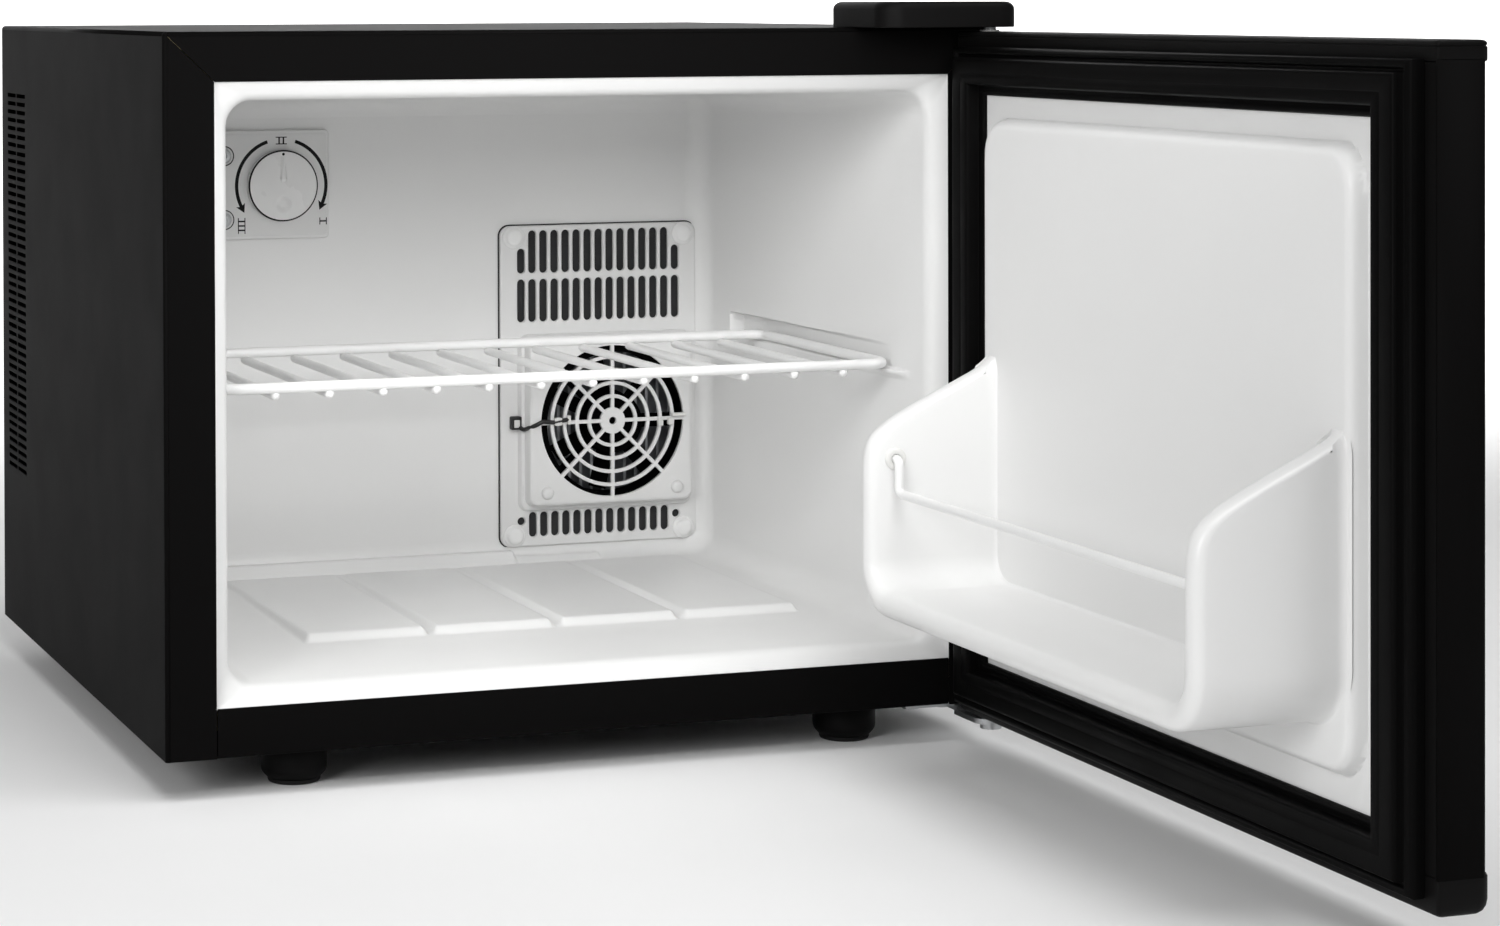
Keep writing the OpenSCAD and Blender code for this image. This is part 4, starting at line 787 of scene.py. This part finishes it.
def build_sensor():
    """Black sensor lead from a square holder to the grille, and white clips on the grille."""
    y = COVER_FRONT - RAISED - 1.5
    z = GRILLE_Z
    left = GRILLE_X - 52
    path = [(left + 1.5, COVER_FRONT - 3.2, z - 2), (left + 3.4, COVER_FRONT - 4.6, z - 3.6),
            (left + 8.2, y + 0.4, z - 0.6), (left + 12, y, z + 1.3), (left + 18, y, z + 0.6),
            (left + 27, y, z + 2)]
    wires("sensor_lead", [fillet_path(path, 3)], 1.15, "cabinet", CABLE, ["sensor_wire"])
    inner = round_rect(left + 0.4, z - 0.4, 3.3, 4.2, 0.4, 3)
    holder = plate("holder", [round_rect(left, z, 5.8, 7, 0.8, 4), inner], COVER_FRONT - 3.6,
                   COVER_FRONT, 0.3)
    add_object("sensor_holder", holder, "cabinet", CABLE)
    tongue = plate("tongue", [inner], COVER_FRONT - 3.2, COVER_FRONT, 0.3)
    add_object("sensor_tongue", tongue, "cabinet", NYLON)
    blocks = [(-31.5, 0.9, 4.2, 4.2), (-25.4, 1.6, 1.9, 4.8), (26.5, -1.7, 3.0, 3.8),
              (32.4, -1.5, 3.2, 3.6), (37.2, 2.1, 8.0, 1.7)]
    clips = [plate("clip", [round_rect(GRILLE_X + dx, z + dz, w, h, 0.5, 3)], y - 1.0, y + 1.4, 0.3)
             for dx, dz, w, h in blocks]
    add_object("sensor_ties", join_meshes("ties", clips), "cabinet", NYLON, ["sensor_clips"])


build_fan_cover()
build_screw_caps()
build_sensor()


# ---------- thermostat ----------

DIAL_X = (DIAL_LO[0] + DIAL_HI[0]) / 2
DIAL_Z = (DIAL_LO[2] + DIAL_HI[2]) / 2
DIAL_R = (DIAL_HI[0] - DIAL_LO[0]) / 2
PLATE_FRONT = PLATE_LO[1]
ARROW_R = 23.9


def ribbon(radius, width, start, end, steps=40):
    """Outline of a curved bar around the dial."""
    return (arc(DIAL_X, DIAL_Z, radius + width / 2, start, end, steps)
            + arc(DIAL_X, DIAL_Z, radius - width / 2, end, start, steps))


def arrow_head(angle, way):
    """Outline of an arrow head on the ring, pointing along the ring."""
    a = math.radians(angle)
    along = np.array([-math.sin(a), math.cos(a)]) * way
    across = np.array([math.cos(a), math.sin(a)])
    base = np.array([DIAL_X, DIAL_Z]) + across * ARROW_R
    return [tuple(base + across * 2.6 - along * 0.8), tuple(base + along * 3.8),
            tuple(base - across * 2.6 - along * 0.8), tuple(base + along * 0.2)]


def tally(count, x, z, upright=True):
    """Outlines of a printed tally: one to three bars between two thin rules."""
    bars = [(i - (count - 1) / 2) * 2.3 for i in range(count)]
    width = 2.3 * count + 1.4
    if upright:
        return ([round_rect(x + b, z, 0.8, 3.6, 0.1, 1) for b in bars]
                + [round_rect(x, z + s * 1.75, width, 0.5, 0.1, 1) for s in (-1, 1)])
    return ([round_rect(x, z + b, 3.6, 0.8, 0.1, 1) for b in bars]
            + [round_rect(x + s * 1.75, z, 0.5, width, 0.1, 1) for s in (-1, 1)])


def build_thermostat():
    """Plate with a label film and printed arrows and tallies, its screws, and the dial."""
    w, h = PLATE_HI[0] - PLATE_LO[0], PLATE_HI[2] - PLATE_LO[2]
    cx, cz = (PLATE_LO[0] + PLATE_HI[0]) / 2, (PLATE_LO[2] + PLATE_HI[2]) / 2
    base = plate("plate", [round_rect(cx, cz, w, h, 2.2)], PLATE_FRONT + 0.35, PLATE_HI[1], 0.8,
                 segments=3)
    piece = add_object("thermostat_base", base, "cabinet", COVER_WHITE, ["thermostat_plate"])
    even_normals(piece)
    film = plate("film", [round_rect(cx, cz, w - 3.2, h - 3.2, 1.5)], PLATE_FRONT + 0.05,
                 PLATE_FRONT + 0.4, 0.08)
    add_object("thermostat_label", film, "cabinet", LABEL)
    prints = [ribbon(ARROW_R, 1.8, 72, -25), ribbon(ARROW_R, 1.8, 108, 207),
              arrow_head(-24, -1), arrow_head(206, 1)]
    prints += tally(2, DIAL_X, DIAL_Z + ARROW_R - 0.6)
    prints += tally(3, DIAL_X - ARROW_R + 2.6, DIAL_Z - 20.6, False)
    prints += tally(1, DIAL_X + ARROW_R - 1.6, DIAL_Z - 19, False)
    marks = [plate("print", [outline], PLATE_FRONT + 0.005, PLATE_FRONT + 0.2, 0.02, segments=1)
             for outline in prints]
    add_object("thermostat_marks", join_meshes("marks", marks), "cabinet", PRINT_INK_AND_PAINTED_SHADE)
    build_plate_screws()
    build_dial(DIAL_LO[1] + 1.2)


def build_plate_screws():
    """Two screw heads at the plate's left edge, each inside a thin black ring that paints the shade of a round
    recess.
    """
    low, high = box_mm("plate_screws")
    x = low[0] + 6.2
    head = [(3.7, 0), (3.7, 0.5), (3.3, 1.1), (2.2, 1.5), (1.3, 1.6), (1.1, 0.9), (0, 0.8)]
    rim = [(4.7, 0), (4.7, 0.12), (5.2, 0.12), (5.2, 0)]
    for i, z in enumerate((low[2] + 3.2, high[2] - 3.2)):
        centre = (x, PLATE_FRONT, z)
        add_object(f"plate_screw_{i}", lathe("head", head, centre, (0, -1, 0), 40), "cabinet", ZINC,
                   ["plate_screws"])
        # Flat black ring round each head: painted shade of a recess that is not modelled.
        add_object(f"plate_recess_painted_shade_{i}", lathe("rim", rim, centre, (0, -1, 0), 48), "cabinet", PRINT_INK_AND_PAINTED_SHADE)


def build_dial(front):
    """Round dial with a rounded edge, a dimple, a raised pointer, a dot and a black ring of painted shade round
    its front edge.
    """
    rings, spokes = [], 96
    edge = [(DIAL_R - 0.1, DIAL_HI[1] - front), (DIAL_R, 0.9), (DIAL_R - 0.25, 0.35), (DIAL_R - 0.8, 0)]
    radii = [(r, d) for r, d in edge] + [(DIAL_R - 0.8 - 0.7 * i, 0) for i in range(1, 25)]
    radii = [(r, d) for r, d in radii if r > 0.3] + [(0.02, 0)]
    for r, depth in radii:
        ring = []
        for k in range(spokes):
            a = 2 * math.pi * k / spokes
            x, z = r * math.cos(a), r * math.sin(a)
            away = math.hypot(x, z + 9.5)
            dip = 1.1 * (1 - float(ease((away - 1.4) / 3.4)))
            along = float(ease((z - 2.5) / 0.8) * ease((15.6 - z) / 0.8))
            half = 0.45 + 1.15 * max(0.0, min(1.0, (14.5 - z) / 12))
            rise = 1.0 * along * float(ease((half + 0.3 - abs(x)) / 0.6))
            ring.append((DIAL_X + x, front + depth + (dip - rise if depth == 0 else 0), DIAL_Z + z))
        rings.append(ring)
    mesh = grid_mesh("thermostat_dial_look", rings, close_columns=True, sharp=50)
    add_object("thermostat_dial_look", mesh, "dial", DIAL_WHITE, ["thermostat_dial"])
    dot = lathe("dot", [(0, 0.1), (0.6, 0.1), (0.75, 0.02), (0.75, -0.3)],
                (DIAL_X, front, DIAL_Z + 16.4), (0, -1, 0), 24)
    add_object("dial_dot", dot, "dial", PRINT_INK_AND_PAINTED_SHADE)
    # A black band over the dial's front edge: painted shade of the gap round the dial.
    rim = [(DIAL_R - 0.75, 0), (DIAL_R - 0.7, 0.06), (DIAL_R - 0.3, 0.0), (DIAL_R + 0.02, -0.5),
           (DIAL_R + 0.02, -0.8), (DIAL_R - 0.75, -0.8)]
    ring = lathe("ring", rim, (DIAL_X, front, DIAL_Z), (0, -1, 0), 96)
    add_object("dial_painted_shade_ring", ring, "dial", PRINT_INK_AND_PAINTED_SHADE)


build_thermostat()


# ---------- wire shelf ----------

BAR_R = 2.5
CROSS_R = 2.1
CROSS_WIRES = 12


def build_shelf():
    """Coated wire frame with round corners and twelve cross wires welded under it."""
    x = SHELF_HI[0] - BAR_R
    y0, y1 = SHELF_LO[1] + BAR_R, SHELF_HI[1] - BAR_R
    corner = 9
    loop = (arc(x - corner, y1 - corner, corner, 0, 90, 8)
            + arc(-x + corner, y1 - corner, corner, 90, 180, 8)
            + arc(-x + corner, y0 + corner, corner, 180, 270, 8)
            + arc(x - corner, y0 + corner, corner, 270, 360, 8))
    wires("shelf_frame", [[(a, b, SHELF_Z) for a, b in loop]], BAR_R, "shelf", WIRE_WHITE,
          ["wire_shelf"], closed=True, detail=8)
    step = (2 * x - 46) / (CROSS_WIRES - 1)
    low = SHELF_Z - BAR_R - CROSS_R + 1
    paths = []
    for i in range(CROSS_WIRES):
        cx = (i - (CROSS_WIRES - 1) / 2) * step
        paths.append([(cx, y0 - 2, low), (cx, y0 + 20, low), (cx, y1 - 20, low), (cx, y1 + 2, low)])
    wires("shelf_cross_wires", paths, CROSS_R, "shelf", WIRE_WHITE, ["wire_shelf"])


build_shelf()


# ---------- feet ----------

def build_feet():
    """Moulded round feet with a step and a rubber pad under each."""
    low, high = box_mm("feet")
    pad_top = box_mm("foot_pads")[1][2]
    bolts = next(m["dims"] for m in frame["record"]["mounts"] if m["name"] == "feet")
    x_off, y_off = bolts["spacing_x_mm"] / 2, bolts["spacing_y_mm"] / 2
    radius = (high[0] - low[0]) / 2 - x_off
    places = [(sx * x_off, sy * y_off) for sx in (-1, 1) for sy in (-1, 1)]
    top, bottom = high[2], low[2]
    profile = [(0, bottom), (radius - 3.6, bottom), (radius - 3.0, bottom + 0.2),
               (radius - 1.2, bottom + 2.2), (radius - 0.5, bottom + 3.2), (radius - 0.1, bottom + 4.5),
               (radius, bottom + 6), (radius, top - 1.2), (radius - 0.4, top - 0.5), (radius - 1.2, top)]
    pad = [(0, 0.02), (10.6, 0.02), (11.5, 0.4), (11.9, 1.2), (11.9, pad_top), (0, pad_top)]
    for i, (x, y) in enumerate(places):
        foot = lathe("foot", profile, (x, y, 0), (0, 0, 1), 64)
        add_object(f"foot_{i}", foot, "cabinet", BLACK, ["feet"])
        add_object(f"foot_pad_{i}", lathe("pad", pad, (x, y, 0), (0, 0, 1)), "cabinet", RUBBER,
                   ["foot_pads"])


build_feet()


# ---------- door ----------

DOOR_Z = (box_mm("door_bottom_cap")[0][2], box_mm("door_top_cap")[1][2])
CAP_Z = (PANEL_LO[2], PANEL_HI[2])
DOOR_U = (PANEL_LO[1] - HINGE[1], PANEL_HI[1] - HINGE[1])
DOOR_CU = sum(DOOR_U) / 2
SKIN_V = HINGE[0] - PANEL_HI[0]
EDGE_V = HINGE[0] - PANEL_LO[0]
PROUD = 3.0


def door(u, v, z):
    """From the closed door's width, depth and height to where it stands open."""
    return (HINGE[0] - v, HINGE[1] + u, z)


def swept(name, outline, levels, sharp=38):
    """A closed body from a plan outline: levels hold (height, inset) pairs; it is capped."""
    outline = np.array(outline)
    middle = outline.mean(axis=0)
    spans = (outline.max(axis=0) - outline.min(axis=0)) / 2
    rows = []
    for z, inset in levels:
        scale = 1 - inset / spans
        rows.append([(*(middle + (p - middle) * scale), z) for p in outline])
    points = [tuple(p) for row in rows for p in row]
    count = len(outline)
    faces = grid_faces(len(rows), count, close_columns=True)
    faces += [tuple(range(count)), tuple(range(count * len(rows) - 1, count * (len(rows) - 1) - 1, -1))]
    mesh = make_mesh(name, points, faces, sharp)
    outward(mesh)
    mesh.set_sharp_from_angle(angle=math.radians(sharp))
    return mesh


def cap_outline():
    """Plan of the door's end caps: round outside corners, nearly square inner corners."""
    plan = []
    u0, u1, v0, v1 = DOOR_U[0], DOOR_U[1], SKIN_V - PROUD, EDGE_V
    for cu, cv, r, start in ((u1, v1, 1.5, 0), (u0, v1, 1.5, 90), (u0, v0, 6.5, 180), (u1, v0, 6.5, 270)):
        su = 1 if cu == u1 else -1
        sv = 1 if cv == v1 else -1
        plan += arc(cu - su * r, cv - sv * r, r, start, start + 90, 8)
    return [door(u, v, 0)[:2] for u, v in plan]


def build_door_shell():
    """Steel skin with rounded folds and the two moulded end caps."""
    r = 2.2
    u0, u1 = DOOR_U
    section = [(u0, EDGE_V)] + arc(u0 + r, SKIN_V + r, r, 180, 270, 6) \
        + arc(u1 - r, SKIN_V + r, r, 270, 360, 6) + [(u1, EDGE_V)]
    rows = [[door(u, v, z) for u, v in section] for z in (CAP_Z[0] - 1, CAP_Z[1] + 1)]
    mesh = grid_mesh("door_skin", rows)
    skin = add_object("door_skin", mesh, "door", STEEL, ["door_panel"])
    thick = skin.modifiers.new("thickness", "SOLIDIFY")
    thick.thickness = SHEET * MM
    thick.offset = -1
    low, top = DOOR_Z
    shade = [(CAP_Z[0], 0.9), (CAP_Z[0] - 0.35, 0.25), (CAP_Z[0] - 1.1, 0)]
    foot = [(low + 5.5, 0), (low + 3.2, 0.35), (low + 1.5, 1.1), (low + 0.5, 2.2), (low, 3.6)]
    bottom = swept("door_bottom_cap_look", cap_outline(), shade + foot)
    add_object("door_bottom_cap_look", bottom, "door", BLACK, ["door_bottom_cap"])
    head = [(CAP_Z[1], 0.7), (CAP_Z[1] + 0.3, 0.15), (CAP_Z[1] + 0.8, 0),
            (top - 2.6, 0), (top - 2.3, 0.35), (top - 2.0, 0.35), (top - 1.8, 0.05),
            (top - 0.9, 0.15), (top - 0.3, 0.7), (top, 1.6)]
    upper = swept("door_top_cap_look", cap_outline(), head)
    add_object("door_top_cap_look", upper, "door", BLACK, ["door_top_cap"])


GASKET_HALF = (164.0, 192.0)
GASKET_Z = ((BASE_Z + 28.0, BASE_Z + 289), (BASE_Z + 5, BASE_Z + 311))


def build_gasket():
    """Magnetic gasket: ribs and a soft magnet face swept round the door with mitred corners."""
    v0 = EDGE_V + 0.3
    top = HINGE[0] - GASKET_LO[0]
    depth = top - v0
    section = [(0.0, 0.0), (0.0, 0.30), (0.02, 0.38), (0.06, 0.42), (0.12, 0.40), (0.15, 0.34),
               (0.19, 0.34), (0.21, 0.45), (0.21, 0.80), (0.225, 0.92), (0.25, 0.985), (0.29, 1.0),
               (0.42, 1.0), (0.44, 0.97), (0.455, 0.97), (0.475, 1.0), (0.70, 1.0), (0.74, 0.98),
               (0.77, 0.91), (0.78, 0.80), (0.78, 0.55), (0.80, 0.50), (0.83, 0.50), (0.85, 0.60),
               (0.875, 0.68), (0.92, 0.70), (0.97, 0.62), (1.0, 0.5), (1.0, 0.3), (1.0, 0.0)]
    rows = []
    for su, sz in ((-1, -1), (1, -1), (1, 1), (-1, 1)):
        row = []
        for f, g in section:
            half = GASKET_HALF[0] + (GASKET_HALF[1] - GASKET_HALF[0]) * f
            pair = [a + (b - a) * f for a, b in zip(*GASKET_Z)]
            row.append(door(DOOR_CU + su * half, v0 + depth * g, pair[1] if sz > 0 else pair[0]))
        rows.append(row)
    mesh = grid_mesh("door_gasket_look", rows, close_rows=True, close_columns=True, sharp=55)
    outward(mesh)
    mesh.set_sharp_from_angle(angle=math.radians(55))
    add_object("door_gasket_look", mesh, "door", GASKET, ["door_gasket"])


build_door_shell()
build_gasket()


# ---------- door liner and bin ----------

BIN_HALF = 152.0
BIN_WALL = 11.0
BIN_Z = (BASE_Z + 58.6, BASE_Z + 169)
BIN_V = 83.5
BIN_R = 24.0
BIN_TIP = 5.0
BIN_ROOT = 4.5
PLINTH_HALF = 156.5
PLINTH_Z = (BASE_Z + 40, BASE_Z + 279)
PLINTH_V = EDGE_V + 9.0
PLINTH_R = 17.0
BORDER_V = EDGE_V + 2.0


def plinth_shape(u, z, deep):
    """Depth of the door liner's face at a point: a flat border and a plinth with round corners."""
    du = PLINTH_HALF - PLINTH_R - np.abs(u)
    middle = (PLINTH_Z[0] + PLINTH_Z[1]) / 2
    half = (PLINTH_Z[1] - PLINTH_Z[0]) / 2
    dz = half - PLINTH_R - np.abs(z - middle)
    outside = np.hypot(np.minimum(du, 0), np.minimum(dz, 0))
    inward = np.where((du > 0) & (dz > 0), PLINTH_R + np.minimum(du, dz), PLINTH_R - outside)
    t = np.clip(inward / 5.5, 0, 1)
    return BORDER_V + (deep - BORDER_V) * np.sqrt(np.clip(1 - (1 - t) ** 2.4, 0, 1))


def build_door_liner():
    """White plate of the inner door with its raised plinth."""
    marks_u = [s * (PLINTH_HALF - k) for s in (-1, 1) for k in (0, 3)]
    marks_z = [PLINTH_Z[0], PLINTH_Z[0] + 3, PLINTH_Z[1] - 3, PLINTH_Z[1]]
    us = np.array(spaced(-GASKET_HALF[0] - 3, GASKET_HALF[0] + 3, marks_u, 0.8, 10))
    zs = np.array(spaced(GASKET_Z[0][0] - 3, GASKET_Z[0][1] + 3, marks_z, 0.8, 10))
    uu, zz = np.meshgrid(us, zs)
    vv = plinth_shape(uu, zz, PLINTH_V)
    grid = np.stack([HINGE[0] - vv, HINGE[1] + DOOR_CU + uu, zz], axis=2)
    mesh = grid_mesh("door_liner_look", grid, flip=True, sharp=60)
    add_object("door_liner_look", mesh, "door", WHITE, ["door_liner"])


def bin_path():
    """Middle line of the bin's wall seen from the front, from one rim to the other."""
    half = BIN_HALF - BIN_WALL / 2
    floor = BIN_Z[0] + BIN_WALL / 2
    r = BIN_R - BIN_WALL / 2
    path = []
    levels = spaced(floor + r, BIN_Z[1] + BIN_TIP, [BIN_Z[1] + BIN_TIP, BIN_Z[1] - 26], 0.6, 6)
    for z in levels[::-1]:
        path.append((-half, z))
    path += arc(-half + r, floor + r, r, 180, 270, 14)[1:-1]
    path += [(u, floor) for u in spaced(-half + r, half - r, [], 1, 9)]
    path += arc(half - r, floor + r, r, 270, 360, 14)[1:-1]
    for z in levels:
        path.append((half, z))
    return np.array(path)


def bin_reach(u, z):
    """How far the bin's wall comes out at a point of its path: sloping top, round corner."""
    top = BIN_Z[1]
    slope = (top - z) * (78.5 - PLINTH_V) / 27.0
    slope = PLINTH_V - 0.9 + 4.0 * np.logaddexp(0, slope / 4.0)
    flat = BIN_V
    k = 9.0
    blend = -k * np.log(np.exp(-np.minimum(slope, 140) / k) + math.exp(-flat / k))
    side = np.abs(u) > BIN_HALF - BIN_WALL
    return np.where(side, np.minimum(blend, flat), flat)


def build_bin():
    """U-shaped bin wall with swollen round edges, blending into the plinth at its root."""
    path = bin_path()
    tangent = np.gradient(path, axis=0)
    tangent /= np.linalg.norm(tangent, axis=1)[:, None]
    normal = np.column_stack([-tangent[:, 1], tangent[:, 0]])
    reach = bin_reach(path[:, 0], path[:, 1])
    rows = []
    for (u, z), (nu, nz), top in zip(path, normal, reach):
        tip = min(1.0, max(0.0, (BIN_Z[1] + BIN_TIP - z) / 12)) if abs(u) > BIN_HALF - BIN_WALL else 1.0
        full = math.sqrt(1 - (1 - tip) ** 2)
        half = max(0.05, BIN_WALL / 2 * full)
        row = []
        root = PLINTH_V - 1.0
        length = max(top - root, 0.05)
        rounding = min(half, length)
        profile = []
        for side in (-1, 1):
            leg = []
            for d in (0.0, 0.5, 1.1, 1.9, 3.0, BIN_ROOT):
                flare = 3.6 * (1 - math.sqrt(max(0.0, 1 - (1 - d / BIN_ROOT) ** 2)))
                leg.append((side * (half + flare * full), root + min(d, length * 0.98)))
            for f in np.linspace(0.15, 1, 8):
                straight = length - BIN_ROOT - rounding
                rise = BIN_ROOT + straight * f if straight > 0 else length * (0.9 + 0.01 * f)
                leg.append((side * half, root + rise))
            for t in np.linspace(0, math.pi / 2, 9)[1:]:
                edge = length - rounding + rounding * math.sin(t)
                leg.append((side * half * math.cos(t) if t < math.pi / 2 else 0.0, root + edge))
            profile.append(leg)
        joined = profile[0] + profile[1][-2::-1]
        for n, v in joined:
            row.append(door(DOOR_CU + u + nu * n, v, z + nz * n))
        rows.append(row)
    mesh = grid_mesh("door_bin", rows, sharp=75)
    add_object("door_bin", mesh, "door", WHITE, ["door_liner"])


build_door_liner()
build_bin()


# ---------- bail ----------

def build_bail():
    """Wire bail across the bin with bent arms, and the two rings that it turns in."""
    low, high = box_mm("bottle_bail")
    r = 2.0
    v = HINGE[0] - (low[0] + high[0]) / 2
    axis_z = high[2] - r
    drop = low[2] + r
    arm = BIN_HALF - BIN_WALL - 4
    out = arm + 11
    path = [(-out, axis_z), (-arm, axis_z), (-arm, drop), (arm, drop), (arm, axis_z), (out, axis_z)]
    bent = fillet_path([door(DOOR_CU + u, v, z) for u, z in path], 3.2, 8)
    wires("bottle_bail_look", [bent], r, "bail", WIRE_WHITE, ["bottle_bail"], detail=8)
    ring = [(r + 0.3, 0), (r + 0.3, 1.0), (3.2, 1.5), (4.4, 1.35), (4.95, 0.8), (5.0, 0)]
    for i, s in enumerate((-1, 1)):
        centre = door(DOOR_CU + s * (BIN_HALF - BIN_WALL), v, axis_z)
        add_object(f"bail_ring_{i}", lathe("ring", ring, centre, (0, -s, 0), 40), "door", NYLON,
                   ["bail_grommets"])


build_bail()


# ---------- hinge cover ----------

def build_hinge_cover():
    """Moulded cover over the top hinge with a rounded top edge."""
    low, high = box_mm("top_hinge_cover")
    cx, cy = (low[0] + high[0]) / 2, (low[1] + high[1]) / 2
    plan = round_rect(cx, cy, high[0] - low[0], high[1] - low[1], 11, 12)
    top = high[2]
    levels = [(low[2], 0.35), (low[2] + 0.3, 0)]
    levels += [(top - 3.6 + 3.6 * math.sin(t), 3.6 * (1 - math.cos(t)))
               for t in np.linspace(0, math.pi / 2, 9)]
    levels.append((top - 0.02, 8))
    mesh = swept("top_hinge_cover_look", plan, levels)
    add_object("top_hinge_cover_look", mesh, "cabinet", BLACK, ["top_hinge_cover"])


build_hinge_cover()


# ---------- camera, floor and light ----------

CAMERA_AT = (-0.5375, -1.7033, 0.3522)
YAW, PITCH, ROLL = 0.33199, 0.01298, -0.00322


def build_camera():
    """Camera at the height and angle of a person crouching before the left of the fridge."""
    data = bpy.data.cameras.new("camera")
    data.lens = 84.37
    data.sensor_width = 36
    data.sensor_fit = "HORIZONTAL"
    data.shift_x = 0.1294
    data.shift_y = -0.2796
    data.clip_start = 0.05
    data.clip_end = 60
    camera = bpy.data.objects.new("camera", data)
    bpy.context.scene.collection.objects.link(camera)
    forward = Vector((math.sin(YAW) * math.cos(PITCH), math.cos(YAW) * math.cos(PITCH),
                      -math.sin(PITCH)))
    level = Vector((math.cos(YAW), -math.sin(YAW), 0))
    upright = level.cross(forward)
    right = level * math.cos(ROLL) + upright * math.sin(ROLL)
    up = upright * math.cos(ROLL) - level * math.sin(ROLL)
    camera.matrix_world = Matrix([(right.x, up.x, -forward.x, CAMERA_AT[0]),
                                  (right.y, up.y, -forward.y, CAMERA_AT[1]),
                                  (right.z, up.z, -forward.z, CAMERA_AT[2]), (0, 0, 0, 1)])
    bpy.context.scene.camera = camera


def build_floor():
    """Plain pale floor that sweeps up into a backdrop behind the fridge."""
    side, front, bend, radius, top = 9, -9, 1.7, 0.8, 3.2
    section = [(front, 0), (-3, 0), (0, 0), (bend, 0)]
    section += [(bend + radius * math.sin(t), radius - radius * math.cos(t))
                for t in np.linspace(0.1, math.pi / 2, 14)]
    section.append((bend + radius, top))
    rows = [[(x * 1000, y * 1000, z * 1000) for y, z in section] for x in (-side, side)]
    mesh = grid_mesh("floor", rows, sharp=80)
    floor = bpy.data.objects.new("floor", mesh)
    bpy.context.scene.collection.objects.link(floor)
    mesh.materials.append(surface("pale_floor", (0.93, 0.93, 0.93), 0.75, grain=4, relief=0.02,
                                  specular=0.1, tint=0.003))


def area_light(name, place, target, width, height, power, spread=180):
    """A soft box light aimed at a point; spread is its beam's width in degrees."""
    data = bpy.data.lights.new(name, "AREA")
    data.shape = "RECTANGLE"
    data.size = width
    data.size_y = height
    data.energy = power
    data.spread = math.radians(spread)
    light = bpy.data.objects.new(name, data)
    bpy.context.scene.collection.objects.link(light)
    light.location = place
    aim = Vector(target) - Vector(place)
    light.rotation_euler = aim.to_track_quat("-Z", "Y").to_euler()
    light.visible_camera = False
    return light


def build_light():
    """Soft boxes: a key on the left, a weak fill, floor and backdrop lamps, one for the cavity."""
    area_light("key", (-1.75, -1.75, 0.98), (0.05, -0.1, 0.16), 0.9, 0.9, 23)
    area_light("fill", (1.2, -2.6, 0.8), (0.0, -0.1, 0.15), 1.2, 1.2, 3)
    area_light("floor_wash", (0.35, -1.1, 2.3), (0.35, -0.95, 0.0), 2.6, 1.6, 21, 120)
    area_light("backdrop_wash", (1.3, 0.75, 2.1), (1.3, 2.3, 0.6), 2.3, 0.6, 50, 110)
    area_light("room", (-0.06, -0.62, 0.46), (0.0, 0.17, 0.11), 0.42, 0.2, 0.38, 62)
    world = bpy.data.worlds.new("surround")
    bpy.context.scene.world = world
    world.use_nodes = True
    nodes, links = world.node_tree.nodes, world.node_tree.links
    back = nodes["Background"]
    back.inputs["Color"].default_value = (1, 1, 1, 1)
    ray = nodes.new("ShaderNodeLightPath")
    dim = nodes.new("ShaderNodeMapRange")
    dim.inputs["To Min"].default_value = 0.2
    dim.inputs["To Max"].default_value = 0.06
    links.new(ray.outputs["Is Glossy Ray"], dim.inputs["Value"])
    links.new(dim.outputs["Result"], back.inputs["Strength"])


build_camera()
build_floor()
build_light()
bpy.context.scene.view_settings.view_transform = "Standard"
bpy.context.scene.view_settings.look = "None"
